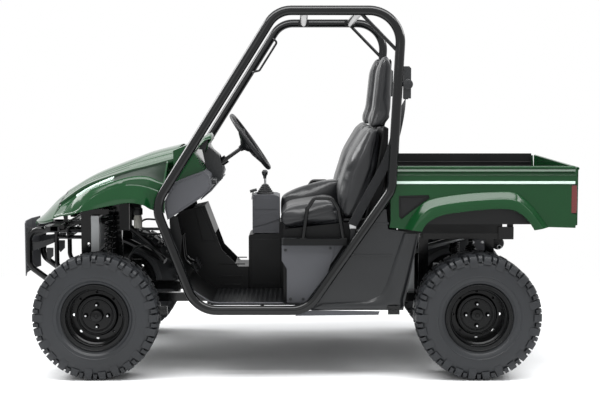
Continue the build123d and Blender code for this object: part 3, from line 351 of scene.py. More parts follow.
def surface(name, colour, rough, pattern_mm=2.0, grain="NOISE", tone=0.1, rough_span=0.08, bump=0.0,
            **shading):
    """Material with patches of tone and gloss and a fine relief; `shading` goes to the shader's sockets."""
    made = bpy.data.materials.new(name)
    made.use_nodes = True
    tree = made.node_tree
    tree.nodes.clear()
    place = add_node(tree, "ShaderNodeTexCoord").outputs["Object"]
    patches = add_node(tree, "ShaderNodeTexNoise",
                       {"Vector": place, "Scale": 3.0, "Detail": 4.0, "Roughness": 0.6})
    if grain == "WEAVE":
        threads = add_node(tree, "ShaderNodeTexWave", {"Vector": place, "Scale": 1000.0 / pattern_mm / 6.3,
                                                       "Distortion": 0.4}, bands_direction="Z")
        relief_height = threads.outputs["Fac"]
    elif grain == "HIDE":
        cells = add_node(tree, "ShaderNodeTexVoronoi", {"Vector": place, "Scale": 1000.0 / pattern_mm},
                         feature="DISTANCE_TO_EDGE")
        relief_height = cells.outputs["Distance"]
    else:
        relief_height = add_node(tree, "ShaderNodeTexNoise", {"Vector": place, "Scale": 1000.0 / pattern_mm,
                                                              "Detail": 2.0}).outputs["Fac"]
    tones = add_node(tree, "ShaderNodeValToRGB", {"Fac": patches.outputs["Fac"]})
    for stop, position, gain in zip(tones.color_ramp.elements, (0.3, 0.7), (1 - tone, 1 + tone)):
        stop.position = position
        stop.color = [min(1, v * gain) for v in colour[:3]] + [1]
    gloss = add_node(tree, "ShaderNodeMapRange",
                     {"Value": patches.outputs["Fac"], "From Min": 0.3, "From Max": 0.7,
                                                  "To Min": max(0.02, rough - rough_span),
                                                  "To Max": rough + rough_span})
    relief = add_node(tree, "ShaderNodeBump", {"Height": relief_height, "Strength": bump,
                                               "Distance": pattern_mm * MM * 0.3})
    sockets = {"Base Color": tones.outputs["Color"], "Roughness": gloss.outputs["Result"],
               "Normal": relief.outputs["Normal"]}
    shader = add_node(tree, "ShaderNodeBsdfPrincipled", {**sockets, **shading})
    add_node(tree, "ShaderNodeOutputMaterial", {"Surface": shader.outputs["BSDF"]})
    return made


class VEHICLE_OT_finishes(bpy.types.Operator):
    """Makes every finish and gives the carried-over pieces theirs"""
    bl_idname = "vehicle.finishes"
    bl_label = "Finishes"

    def execute(self, context):
        colours = context.scene.vehicle_colours
        # polypropylene panels, coloured through and moulded against a polished die:
        # deep green that mirrors the lamps
        surface("gloss_moulded_polypropylene", colours.body, 0.14, tone=0.06, rough_span=0.02, pattern_mm=8,
                bump=0.01,
                **{"Specular IOR Level": 0.28})
        # cast vinyl film for the fenders' pinstripe: thin, pale and even, with a soft shine; the same pale
        # finish is a painted highlight along the bed sides' bead
        surface("cast_vinyl_stripe", colours.stripe, 0.3, tone=0.02, pattern_mm=4)
        # printed vinyl film: near black with a green cast
        surface("printed_vinyl_band", colours.band, 0.45, tone=0.05, pattern_mm=4,
                **{"Specular IOR Level": 0.06})
        # polypropylene with a leather grain from the die: mid grey and dull, its cells coarse enough to show
        surface("grained_grey_polypropylene", colours.grey, 0.55, tone=0.1, pattern_mm=5, grain="HIDE",
                bump=0.18,
                **{"Specular IOR Level": 0.35})
        # the same in near black
        surface("grained_black_polypropylene", colours.black, 0.34, tone=0.14, pattern_mm=5, grain="HIDE",
                bump=0.12,
                **{"Specular IOR Level": 0.45})
        # polypropylene from a plainer die: black, with a broad dull shine
        surface("blow_moulded_polyethylene", colours.liner, 0.38, tone=0.14, pattern_mm=6, bump=0.05,
                **{"Specular IOR Level": 0.2})
        # polyester powder baked on steel: black with a soft line of light along a tube and faint orange peel
        surface("powder_coated_steel", colours.tube, 0.13, tone=0.1, rough_span=0.03, pattern_mm=8, bump=0.01,
                **{"Specular IOR Level": 0.32})
        # stoving enamel on pressed steel: deep black, smooth
        surface("enamelled_pressed_steel", colours.tube, 0.25, tone=0.1, pattern_mm=8, bump=0.02,
                **{"Specular IOR Level": 0.2})
        # sprayed enamel on sheet steel: black, dulled by loads
        surface("enamelled_sheet_steel", colours.tube, 0.4, tone=0.2, pattern_mm=5, bump=0.08,
                **{"Specular IOR Level": 0.3})
        # vulcanised rubber: dark grey and dull, with a dry bloom in patches
        surface("vulcanised_rubber", colours.tyre, 0.5, tone=0.2, pattern_mm=5, bump=0.12, rough_span=0.08,
                **{"Specular IOR Level": 0.4})
        # moulded synthetic rubber: black, for boots, grips and mats
        surface("moulded_rubber", linear("#101113"), 0.4, tone=0.1, pattern_mm=5, bump=0.04,
                **{"Specular IOR Level": 0.3})
        # vinyl-coated knit with an embossed hide grain: soft shine along the crowns
        surface("embossed_vinyl_hide", colours.seat, 0.36, tone=0.12, pattern_mm=5, grain="HIDE", bump=0.12,
                **{"Specular IOR Level": 0.4})
        # pressure-cast aluminium: grey and slightly sandy
        surface("cast_aluminium", linear("#6f7173"), 0.5, tone=0.2, pattern_mm=2.5, bump=0.3,
                **{"Metallic": 1.0})
        # rolled aluminium: brighter, with a faint grain
        surface("rolled_aluminium", linear("#a3a5a6"), 0.36, tone=0.14, pattern_mm=3, bump=0.15,
                **{"Metallic": 1.0})
        # zinc plating on steel fittings: bright, slightly grey
        surface("zinc_plated_steel", linear("#c3c4c5"), 0.3, tone=0.1, pattern_mm=3, bump=0.05,
                **{"Metallic": 1.0})
        # acrylic lens: deep red, wet gloss
        surface("red_acrylic", colours.lens, 0.1, tone=0.05, pattern_mm=6, **{"Coat Weight": 0.4})
        # polycarbonate over a vacuum-plated reflector: pale and mirror-like
        surface("plated_lamp_reflector", linear("#aeb6b8"), 0.12, tone=0.1, pattern_mm=6, bump=0.05,
                **{"Metallic": 0.7, "Coat Weight": 1.0, "Coat Roughness": 0.02})
        # natural polyethylene: milky, warm white, waxy
        surface("natural_polyethylene", linear("#96948d"), 0.42, tone=0.1, pattern_mm=5, bump=0.05)
        # woven polyester: matte black ribs across the belt
        surface("woven_polyester", linear("#18191b"), 0.7, tone=0.12, pattern_mm=3, grain="WEAVE", bump=0.5,
                **{"Sheen Weight": 0.15, "Specular IOR Level": 0.2})
        for finish, names in NODE_FINISHES.items():
            for name in names.split():
                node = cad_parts[name]
                node.data.materials.clear()
                node.data.materials.append(bpy.data.materials[finish])
        return {"FINISHED"}


NODE_FINISHES = {
    "powder_coated_steel": ("hoop_left hoop_right roof_crossbars frame_sides "
                            "frame_cross_members rear_subframe "
                            "front_frame_bars front_guard_tubes hip_bars knuckle_left knuckle_right tie_rods "
                            "front_wishbones rear_wishbones steering_housings"),
    "grained_grey_polypropylene": "front_guard_plate",
    "blow_moulded_polyethylene": "floor_pan seat_box",
    "enamelled_pressed_steel": "front_left_rim front_right_rim rear_left_rim rear_right_rim",
    "enamelled_sheet_steel": "bed_tub",
    "cast_aluminium": "engine_block drive_train",
}


# ---------------------------------------------------------------- wheels
# wheel: bead half width
WHEELS = {"front_left": 76.0, "front_right": 76.0, "rear_left": 101.0, "rear_right": 101.0}


def tread_block(shape, centre, side, turn, profile, half_angle, skew=0.0):
    """One tread block: (radius, y, radius of its foot) stations across the tread, standing on the carcass."""
    rows = []
    for edge in (-1, 1):
        for level in (0, 1):
            row = []
            for radius, y, foot in profile:
                reach = radius if level else foot
                spread = half_angle * (1.0 if level else 1.25)
                angle = turn + edge * spread + skew * (y / 100)
                row.append((centre[0] + reach * math.sin(angle), centre[1] + side * y,
                            centre[2] + reach * math.cos(angle)))
            rows.append(row)
    low_a, top_a, low_b, top_b = rows
    shape.grid([low_a, top_a, top_b, low_b])
    for end in (0, -1):
        shape.add([row[end] for row in rows], [[0, 1, 3, 2]])


def tyre_shape(centre, width, bead_half, sizes):
    """Carcass with its sidewall rings, two rows of shoulder blocks and two rows of inner blocks."""
    half = width / 2
    tread = TYRE_RADIUS - sizes.block_depth / MM
    shape = Shape()
    side_profile = [(153, bead_half - 12), (153, bead_half), (168.5, bead_half + 1), (174, bead_half + 6),
                    (180, bead_half + 7), (190, half * 0.93), (204, half * 0.955), (206, half * 0.975),
                    (211, half * 0.975), (213, half * 0.965), (238, half * 0.975), (262, half * 0.95),
                    (278, half * 0.9), (290, half * 0.78), (tread - 1, half * 0.6), (tread, half * 0.3)]
    shape.turned(side_profile + [(tread + 0.5, 0)] + [(r, -y) for r, y in reversed(side_profile)], centre,
                 120)
    count = sizes.block_count
    for step in range(count):
        for side in (-1, 1):
            turn = 2 * math.pi * (step + (0.5 if side > 0 else 0)) / count
            long_block = step % 2 == 0
            inner = 0.44 if long_block else 0.55
            foot = 256 if long_block else 272
            shoulder = [(314, half * inner, tread - 4), (314, half * 0.74, tread - 6), (309, half * 0.9, 282),
                        (292, half * 0.985, 276), (foot + 10, half * 0.99, foot + 6),
                        (foot, half * 0.965, foot - 1)]
            tread_block(shape, centre, side, turn, shoulder, math.radians(84 / count))
            knob = [(312, half * 0.64, tread - 4), (311, half * 0.84, 288), (300, half * 0.94, 282)]
            tread_block(shape, centre, side, turn + math.pi / count, knob, math.radians(44 / count))
            inner_block = [(314, half * 0.05, tread - 3), (314, half * 0.2, tread - 3),
                           (313.5, half * 0.38, tread - 4)]
            tread_block(shape, centre, side, turn + math.pi / count, inner_block, math.radians(100 / count),
                        math.radians(-9) * side)
    return shape


class VEHICLE_OT_tyres(bpy.types.Operator):
    """Adds the four tyres with their tread blocks, and the hub caps and wheel nuts"""
    bl_idname = "vehicle.tyres"
    bl_label = "Tyres and hubs"

    def execute(self, context):
        for wheel, bead in WHEELS.items():
            centre = node_centre(f"{wheel}_tyre")
            width = node_size(f"{wheel}_tyre")[1]
            shape = tyre_shape(centre, width, bead, context.scene.vehicle_sizes)
            shape.piece(f"{wheel}_tread_tyre", f"{wheel}_wheel", "vulcanised_rubber", "tyre", f"{wheel}_tyre",
                        bevel=3.0, bevel_steps=1)
            side = 1 if centre[1] > 0 else -1
            hub = Shape()
            for step in range(4):
                turn = math.radians(90 * step)
                spot = (centre[0] + 55 * math.sin(turn), centre[1], centre[2] + 55 * math.cos(turn))
                hub.turned([(13, side * 8), (13, side * 10), (10.5, side * 12), (10, side * 24),
                            (6, side * 28),
                            (0, side * 28)], spot, 6)
                hub.turned([(0, side * 28), (5, side * 28), (5, side * 31), (0, side * 31)], spot, 12, 1)
            hub.turned([(0, side * 38), (20, side * 38), (29, side * 34), (32, side * 26), (33, side * 8)],
                       centre, 32)
            hub.turned([(12, side * 38), (12, side * 42), (9, side * 44), (0, side * 44)], centre, 6)
            # rolled rings round the disc, in the barrel and on the lip
            lip = node_size(f"{wheel}_rim")[1] / 2
            for radius, height in ((78, 9), (96, 12), (141, lip - 34), (165, lip - 1)):
                ring = [(radius + 4 * math.cos(turn), side * (height + 4 * math.sin(turn)))
                        for turn in (math.pi * step / 6 for step in range(7))]
                hub.turned(ring, centre, 72)
            # brake disc behind the wheel's disc
            hub.turned([(40, side * -22), (118, side * -22), (118, side * -26), (40, side * -26)], centre, 48,
                       2)
            hub.piece(f"{wheel}_hub", f"{wheel}_wheel", "enamelled_pressed_steel zinc_plated_steel "
                      "enamelled_sheet_steel", "rim_black", bevel=0.8, bevel_steps=1)
        return {"FINISHED"}


# ---------------------------------------------------------------- front bodywork
# hood: x, height at the middle, height at the edge
HOOD = [(595, 1148, 1098), (740, 1112, 1058), (852, 1072, 1030), (1050, 993, 962), (1187, 914, 870)]
# fender: x, z at the hood, y of the crown, y and z of the lip
FENDER = [
    (630, 1078, 570, 606, 830), (700, 1062, 575, 612, 850), (738, 1052, 575, 636, 874),
    (810, 1034, 575, 645, 884), (901, 1004, 575, 642, 869), (991, 968, 572, 638, 850),
    (1043, 943, 565, 630, 838), (1100, 908, 552, 610, 822), (1150, 875, 540, 590, 815),
    (1196, 845, 520, 566, 800),
]
# nose: x, half width, z at the middle, z at the sides
NOSE = [(1196, 562, 902, 798), (1250, 500, 862, 780), (1305, 400, 800, 768), (1338, 280, 768, 760)]
# ends of the dark band and, ahead of it, of the pinstripe
BAND_REAR, BAND_FRONT, STRIPE_FRONT = 640, 908, 1105
# fender: x, heights of the shoulder's upper and lower edge, and of the bead below it
SHOULDER = [(630, 978, 968, 928), (654, 986, 975, 938), (703, 1008, 990, 957), (753, 1014, 995, 969),
            (810, 1008, 990, 972), (868, 993, 972, 963), (940, 968, 946, 938), (1011, 943, 900, 894),
            (1063, 914, 850, 846), (1100, 880, 834, 830), (1149, 826, 821, 818), (1196, 812, 808, 805)]
SHOULDER_CURVE = spline(SHOULDER, 6)


def at_station(table, x):
    """Row of a table at x, between its own rows."""
    for before, after in zip(table, table[1:]):
        if x <= after[0] or after is table[-1]:
            t = (x - before[0]) / (after[0] - before[0])
            return [a + (b - a) * t for a, b in zip(before, after)]


def fender_profile(x, z_hood, y_crown, y_lip, z_lip, stripe):
    """Section of the left fender: flat top, shoulder that catches the light, fine bead, down to the lip."""
    _, upper, lower, bead = at_station(SHOULDER_CURVE, x)
    y_upper = y_crown + 12
    y_lower = min(y_lip - 10, y_upper + (upper - lower) * 0.73)
    y_bead = min(y_lip - 7, y_lower + 3)
    ledge = min(6, (bead - z_lip) * 0.3)
    flat = y_upper - 412
    step = z_hood - stripe
    return [
        (400, z_hood - 39), (400, z_hood - 6), (402, z_hood), (406, z_hood), (406 + stripe * 0.6, step),
        (412 + flat * 0.3, step + (upper - step) * 0.3), (412 + flat * 0.6, step + (upper - step) * 0.62),
        (y_upper - 14, step + (upper - step) * 0.96), (y_upper - 3, upper + 1), (y_upper, upper - 1),
        ((y_upper + y_lower) / 2, (upper + lower) / 2), (y_lower - 0.5, lower + 1), (y_lower, lower - 1),
        (y_bead, bead + 0.5), (y_bead + ledge * 0.8, bead - ledge),
        (y_bead + ledge * 0.8 + 0.5, bead - ledge - 1.5),
        (y_bead + (y_lip - y_bead) * 0.72, z_lip + (bead - z_lip) * 0.45),
        (y_lip - 2, z_lip + (bead - z_lip) * 0.18), (y_lip, z_lip + 3), (y_lip - 1, z_lip),
    ]


class VEHICLE_OT_hood(bpy.types.Operator):
    """Adds the hood skin with its raised middle and two pressed grooves"""
    bl_idname = "vehicle.hood"
    bl_label = "Hood"

    def execute(self, context):
        sizes = context.scene.vehicle_sizes
        shape = Shape()
        rows = []
        for x, middle, edge in spline(HOOD, 8):
            row = []
            for step in range(-48, 49):
                y = 8.0 * step
                rise = 1 - (y / 386) ** 2
                swell = 9 * max(0, 1 - (abs(y) / 215) ** 6)
                groove = -6 * math.exp(-((abs(y) - 262) / 9) ** 2) * min(1, (HOOD[-1][0] - x) / 60)
                groove -= 3 * max(0, min(1, (abs(y) - 318) / 8))
                row.append((x, y, edge + (middle - edge - 9) * rise + swell + groove))
            ends = [(x, -395, edge - 34), (x, -395, edge - 12), (x, -393, edge - 4)]
            rows.append(ends + row + [(px, -py, pz) for px, py, pz in reversed(ends)])
        shape.grid(rows)
        shape.piece("hood_skin", "hood", "gloss_moulded_polypropylene", "green_body", "hood",
                    wall=sizes.skin / MM,
                    crease_angle=60)
        # rubber seal in the gap ahead of the hood, under the edge that swings over it
        seal = Shape()
        seal.swept([(x + 6.5, y, z - 10) for x, y, z in row[::2]], 4)
        seal.piece("hood_seal", "chassis", "moulded_rubber", "black_rubber")
        return {"FINISHED"}


class VEHICLE_OT_fenders(bpy.types.Operator):
    """Adds the two front fender skins with their pinstripe and dark band"""
    bl_idname = "vehicle.fenders"
    bl_label = "Front fenders"

    def execute(self, context):
        sizes = context.scene.vehicle_sizes
        stripe = sizes.stripe / MM
        stations = spline(FENDER, 10)
        rows = [[(x, y, z) for y, z in fender_profile(x, *rest, stripe)] for x, *rest in stations]

        def finish(row, column):
            x = stations[row][0]
            if column == 3 and BAND_FRONT < x < STRIPE_FRONT:
                return 1
            limit = {3: BAND_FRONT, 4: BAND_FRONT, 5: BAND_FRONT - 10, 6: BAND_FRONT - 20,
                     7: BAND_FRONT - 35}.get(column, 0)
            return 2 if BAND_REAR < x < limit else 0

        shape = Shape()
        shape.grid(rows, finish)
        finishes = "gloss_moulded_polypropylene cast_vinyl_stripe printed_vinyl_band"
        for name, half in (("left", shape), ("right", shape.mirrored())):
            half.piece(f"fender_skin_{name}", "chassis", finishes, "green_body", f"fender_{name}",
                       wall=sizes.skin / MM, crease_angle=24)
        return {"FINISHED"}


class VEHICLE_OT_nose(bpy.types.Operator):
    """Adds the nose skin, its grille and the two headlamps"""
    bl_idname = "vehicle.nose"
    bl_label = "Nose and headlamps"

    def execute(self, context):
        sizes = context.scene.vehicle_sizes
        shape = Shape()
        rows = []
        for x, half, middle, side in spline(NOSE, 6):
            row = [(x, -half, side - 12), (x, -half, side - 3)]
            hollow = 6 * max(0, (1250 - x) / 54)
            row += [(x, half * step / 20, side + (middle - side) * (1 - (step / 20) ** 2)
                     - hollow * math.exp(-((half * abs(step) / 20 - 262) / 34) ** 2)) for step in range(-20,
                                                                                                        21)]
            rows.append(row + [(x, half, side - 3), (x, half, side - 12)])
        rows.append([(x + 3, y * 0.99, z - 8) for x, y, z in rows[-1]])
        rows.append([(x - 1, y * 0.98, z - 8) for x, y, z in rows[-1]])
        shape.grid(rows)
        shape.piece("nose_skin", "chassis", "gloss_moulded_polypropylene", "green_body", "nose_panel",
                    wall=sizes.skin / MM, crease_angle=50)
        # black frame and louvres under the nose
        grille = Shape()
        for z in (700, 684, 668):
            grille.block((1182, -240, z), (1190, 240, z + 5))
        for y in range(-240, 241, 60):
            grille.block((1184, y - 2, 664), (1188, y + 2, 712))
        grille.block((1178, -250, 708), (1192, 250, 716))
        grille.block((1178, -250, 658), (1192, 250, 664))
        grille.piece("nose_grille", "chassis", "grained_black_polypropylene", "black_plastic", bevel=1.2)
        # lamp: dark housing, plated bowl behind a bowed lens
        low, high = (1190.5, 280, 716), (1288, 420, 744)
        lamp = Shape()
        rows = []
        for step in range(11):
            y = low[1] + 4 + (high[1] - low[1] - 8) * step / 10
            sag = 14 * (abs(step - 5) / 5) ** 2
            rows.append([(1236 - sag, y, 719), (1262 - sag, y, 721), (1282 - sag, y, 733),
                         (1276 - sag, y, 742),
                         (1240 - sag, y, 743)])
        lamp.grid(rows)
        lamp.block(low, (1240, high[1], 744), 1)
        for side_y in (low[1], high[1] - 4):
            lamp.prism([(1200, 717), (1262, 719), (1266, 742), (1200, 744)], side_y, side_y + 4, 1)
        lamp.both().piece("headlamp_lenses", "chassis", "plated_lamp_reflector grained_black_polypropylene",
                          "lamp_clear", "headlamps", bevel=1.5, crease_angle=40)
        return {"FINISHED"}


class VEHICLE_OT_guard(bpy.types.Operator):
    """Adds the webs, skid foot and bolts of the front guard"""
    bl_idname = "vehicle.guard"
    bl_label = "Front guard"

    def execute(self, context):
        shape = Shape()
        for y in (150, 176):
            shape.prism([(1414, 712), (1350, 694), (1270, 714), (1268, 694), (1345, 668), (1414, 676)], y,
                        y + 4)
            shape.prism([(1414, 628), (1350, 632), (1268, 648), (1270, 628), (1340, 600), (1414, 575)], y,
                        y + 4)
        shape.prism([(1310, 600), (1275, 600), (1276, 556), (1300, 532), (1310, 550)], 160, 170)
        for z in (560, 640, 700):
            shape.bolt((1414.5, 120, z), side=1, size=5, height=4, finish=1, axis="X")
        shape.both().piece("guard_webs", "chassis", "grained_black_polypropylene zinc_plated_steel",
                           "black_plastic",
                           bevel=2.0)
        return {"FINISHED"}


# ---------------------------------------------------------------- engine bay and running gear
# spring ends: lower and upper eye
SPRINGS = [((948, 378, 498), (948, 262, 810)), ((-934.5, 378, 480), (-934.5, 300, 650))]


class VEHICLE_OT_springs(bpy.types.Operator):
    """Adds the four coil springs over their dampers"""
    bl_idname = "vehicle.springs"
    bl_label = "Springs"

    def execute(self, context):
        sizes = context.scene.vehicle_sizes
        shape = Shape()
        for low, high in SPRINGS:
            low, high = Vector(low), Vector(high)
            axis = (high - low).normalized()
            start, end = low + axis * 36, high - axis * 32
            side = axis.cross(Vector((1, 0, 0))).normalized()
            up = axis.cross(side)
            steps = sizes.coils * 14
            path = []
            for step in range(steps + 1):
                turn = 2 * math.pi * sizes.coils * step / steps
                path.append(start + (end - start) * step / steps
                            + (side * math.cos(turn) + up * math.sin(turn)) * 27)
            shape.swept(path, sizes.wire / MM / 2, sides=8)
            shape.swept([low, high], 12, sides=14)
            shape.swept([start - axis * 4, start + axis * 60], 14, sides=16)
            for spot in (start - axis * 3, end + axis * 3):
                shape.swept([spot - axis * 3, spot + axis * 3], 27, sides=24)
            for spot in (low, high):
                shape.swept([spot - Vector((12, 0, 0)), spot + Vector((12, 0, 0))], 14, sides=18)
        shape.swept([(938, 215.5, 810), (938, 262, 810)], 9, sides=12)
        shape.both().piece("coil_springs", "chassis", "powder_coated_steel zinc_plated_steel", "black_steel",
                           "shock_absorbers")
        return {"FINISHED"}


class VEHICLE_OT_engine_bay(bpy.types.Operator):
    """Adds the radiator with its tanks, the brake fluid reservoir, hoses, shaft boots and exhaust"""
    bl_idname = "vehicle.engine_bay"
    bl_label = "Engine bay and drive"

    def execute(self, context):
        low, high = ([v / MM for v in corner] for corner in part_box("radiator"))
        core = Shape()
        for y in range(-205, 206, 10):
            core.block((low[0] + 6, y - 1, low[2] + 16), (high[0] - 6, y + 1, high[2] - 16), 1)
        core.block((low[0] + 12, -212, low[2] + 16), (high[0] - 12, 212, high[2] - 16), 2)
        for side in (-1, 1):
            outer = side * 250
            inner = side * 212
            core.block((low[0], min(outer, inner), low[2]), (high[0], max(outer, inner), high[2]))
            for z in (low[2] + 30, high[2] - 30):
                core.turned([(9, 0), (9, side * 5), (0, side * 5)], (low[0] + 21, outer - side * 4, z), 12)
        for z in (low[2], high[2] - 14):
            core.block((low[0] + 3, -212, z), (high[0] - 3, 212, z + 14))
        core.piece("radiator_core", "chassis", "rolled_aluminium cast_aluminium enamelled_sheet_steel",
                   "aluminium",
                   "radiator", bevel=2.5)

        tank = Shape()
        tank.turned([(0, 728), (19, 728), (22, 734), (22, 780), (17, 790), (17, 797)], (797, 350, 0), 28, 0,
                    "Z")
        tank.turned([(17, 795), (24, 797), (25, 800), (25, 826), (22, 832), (0, 832)], (797, 350, 0), 28, 1,
                    "Z")
        tank.swept(rounded([(797, 350, 730), (797, 350, 700), (740, 320, 690), (640, 260, 690)], 25), 5, 1)
        tank.block((776, 330, 716), (640, 362, 728), 1)
        tank.piece("brake_reservoir", "chassis", "natural_polyethylene moulded_rubber", "black_plastic",
                   bevel=1.0)

        hoses = Shape()
        hoses.swept(rounded([(1012, 190, 745), (940, 180, 760), (860, 120, 700), (760, 60, 600),
                             (700, 40, 520)], 60), 17)
        hoses.swept(rounded([(1012, -190, 620), (930, -170, 600), (820, -90, 560), (700, -40, 500)], 60), 17)
        hoses.swept(rounded([(797, 350, 742), (770, 300, 770), (700, 250, 760), (640, 230, 700)], 30), 5)
        hoses.swept(rounded([(860, 262, 560), (820, 300, 620), (760, 300, 640), (650, 270, 560),
                             (560, 250, 500)], 40), 6)
        for y in (235, -262):
            hoses.block((855, y, 705), (905, y + 28, 845))
        hoses.piece("bay_hoses", "chassis", "moulded_rubber", "black_rubber", bevel=3)

        boots = Shape()
        for axle_x, y_in, y_out in ((975.5, 120, 430), (-934.5, 120, 455)):
            for start, turn in ((y_in, 1), (y_out, -1)):
                z = 415 - (start - 110) * 0.26
                profile = [(30, 0)]
                for rib in range(5):
                    reach = 34 - rib * 3
                    profile += [(reach, turn * (6 + rib * 11)), (reach - 7, turn * (12 + rib * 11))]
                profile += [(16, turn * 64)]
                boots.turned(profile, (axle_x, start, z), 24)
        boots.both().piece("shaft_boots", "chassis", "moulded_rubber", "black_rubber", crease_angle=50)

        exhaust = Shape()
        exhaust.turned([(0, -190), (28, -190), (34, -184), (34, 204), (28, 210), (0, 210)], (-1094, 0, 629),
                       28)
        exhaust.turned([(12, 205), (12, 262), (9, 262), (9, 215)], (-1094, 0, 616), 18, 1)
        exhaust.swept(rounded([(-1094, -120, 640), (-1010, -120, 640), (-860, -110, 600), (-700, -80, 560),
                               (-640, -60, 540)], 60), 17, 1)
        for y in (-120, 140):
            exhaust.turned([(36, y - 8), (37, y - 8), (37, y + 8), (36, y + 8)], (-1094, 0, 629), 28, 1)
        exhaust.block((-1012, 210, 602), (-940, 285, 660), 2)
        for x in (-1000, -952):
            exhaust.bolt((x, 285, 645), size=5, height=4, finish=3)
        exhaust.piece("exhaust", "chassis",
                      "enamelled_sheet_steel rolled_aluminium grained_grey_polypropylene "
                      "zinc_plated_steel", "black_steel", bevel=3)
        return {"FINISHED"}


# ---------------------------------------------------------------- cab
class VEHICLE_OT_dash(bpy.types.Operator):
    """Rounds the dash and cowl and adds the instrument hood, column cheeks, knobs and glove box lid"""
    bl_idname = "vehicle.dash"
    bl_label = "Dash"

    def execute(self, context):
        for name, finish in (("dash_panel", "grained_grey_polypropylene"),
                             ("cowl_panel", "gloss_moulded_polypropylene")):
            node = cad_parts[name]
            node.data.materials.clear()
            node.data.materials.append(bpy.data.materials[finish])
            edge = node.modifiers.new("edge", "BEVEL")
            edge.width = 2.5 * MM
            edge.segments = 2
            edge.limit_method = "ANGLE"
            edge.angle_limit = math.radians(30)
            edge.harden_normals = True

        fascia = Shape()
        # raised end panels and the seam along the dash
        for side in (-1, 1):
            low, high = sorted((side * 600, side * 603.5))
            fascia.prism([(612, 812), (622, 850), (622, 888), (580, 971), (531, 994), (441, 1026),
                          (418, 1008),
                          (405, 968), (411, 950), (462, 909)], low, high)
        fascia.prism([(456, 897), (402, 944), (398, 946), (396, 940), (452, 893)], -560, 560)
        # glove box lid and its latch
        fascia.prism([(404, 1006), (398, 972), (392, 971), (398, 1008)], -500, -140, 0)
        fascia.block((387, -340, 992), (397, -300, 1002), 1)
        fascia.piece("dash_fascia", "chassis", "grained_grey_polypropylene grained_black_polypropylene",
                     "grey_plastic", bevel=2)

        hood = Shape()
        rows = []
        for step in range(13):
            y = 215 + 230 * step / 12
            drop = 26 * (abs(step - 6) / 6) ** 3
            rows.append([(486, y, 1142 - drop * 0.3), (462, y, 1190 - drop), (440, y, 1212 - drop),
                         (414, y, 1221 - drop), (408, y, 1212 - drop), (420, y, 1196 - drop),
                         (436, y, 1150 - drop)])
        hood.grid(rows)
        hood.piece("instrument_hood", "chassis", "gloss_moulded_polypropylene", "green_body", wall=3,
                   crease_angle=50)

        cluster = Shape()
        cluster.prism([(474, 1140), (452, 1180), (428, 1188), (424, 1150), (440, 1136)], 236, 424)
        for y in (268, 376):
            cluster.prism([(462, 1150), (423, 1150), (370, 1104), (350, 1041), (361, 978), (392, 966),
                           (412, 1014),
                           (438, 1042)], y, y + 16)
        cluster.prism([(466, 1150), (423, 1152), (370, 1106), (375, 1094), (428, 1138), (464, 1138)], 284,
                      376)
        for y in (80, 130, 180, 480, 520):
            cluster.turned([(0, -22), (13, -22), (15, -18), (15, -4), (19, -2), (19, 3)], (400, y, 984), 24,
                           0, "X")
        for y in (292, 368):
            cluster.bolt((366, y, 1072), side=-1, size=5, height=4, finish=1, axis="X")
        # dials
        for y in (290, 370):
            cluster.turned([(0, 0), (30, 0), (32, -3), (34, 0)], (428, y, 1168), 32, 2, "X")
        cluster.piece("instrument_cluster", "chassis", "grained_black_polypropylene zinc_plated_steel "
                      "plated_lamp_reflector", "black_plastic", bevel=3)
        return {"FINISHED"}


class VEHICLE_OT_steering_wheel(bpy.types.Operator):
    """Adds the steering wheel with its grip, spokes, pad and shaft"""
    bl_idname = "vehicle.steering_wheel"
    bl_label = "Steering wheel"

    def execute(self, context):
        shape = Shape()
        ring = []
        for step in range(72):
            turn = 2 * math.pi * step / 72
            ring.append((163 * math.cos(turn), 163 * math.sin(turn), 0))
        shape.swept(ring, 12, sides=14, closed=True)
        for degrees in (90, 210, 330):
            turn = math.radians(degrees)
            along = Vector((math.cos(turn), math.sin(turn), 0))
            across = Vector((-math.sin(turn), math.cos(turn), 0))
            path = [along * reach + Vector((0, 0, height)) for reach, height in
                    ((20, -30), (60, -28), (110, -16), (140, -6), (156, -2))]
            shape.strap(path, across, 34, 8)
            shape.swept([along * 40 + Vector((0, 0, -22)), along * 146], 7, sides=10)
        shape.turned([(0, -4), (30, -5), (46, -10), (51, -18), (48, -28), (34, -40), (18, -50), (14, -66)],
                     (0, 0, 0),
                     36, 0, "Z")
        shape.turned([(0, -2.5), (19, -3), (21, -5.5)], (0, 0, 0), 32, 1, "Z")
        shape.swept([(0, 0, -46), (0, 0, -320)], 10, 2, sides=16)
        tilt = math.radians(54.6)
        wheel = shape.placed((213.5, 330, 1174), (0, 1, 0), (-math.sin(tilt), 0, math.cos(tilt)))
        wheel.piece("steering_wheel_grip", "steering_wheel", "moulded_rubber grained_black_polypropylene "
                    "powder_coated_steel", "black_rubber", "steering_wheel", bevel=1.5, crease_angle=45)
        return {"FINISHED"}


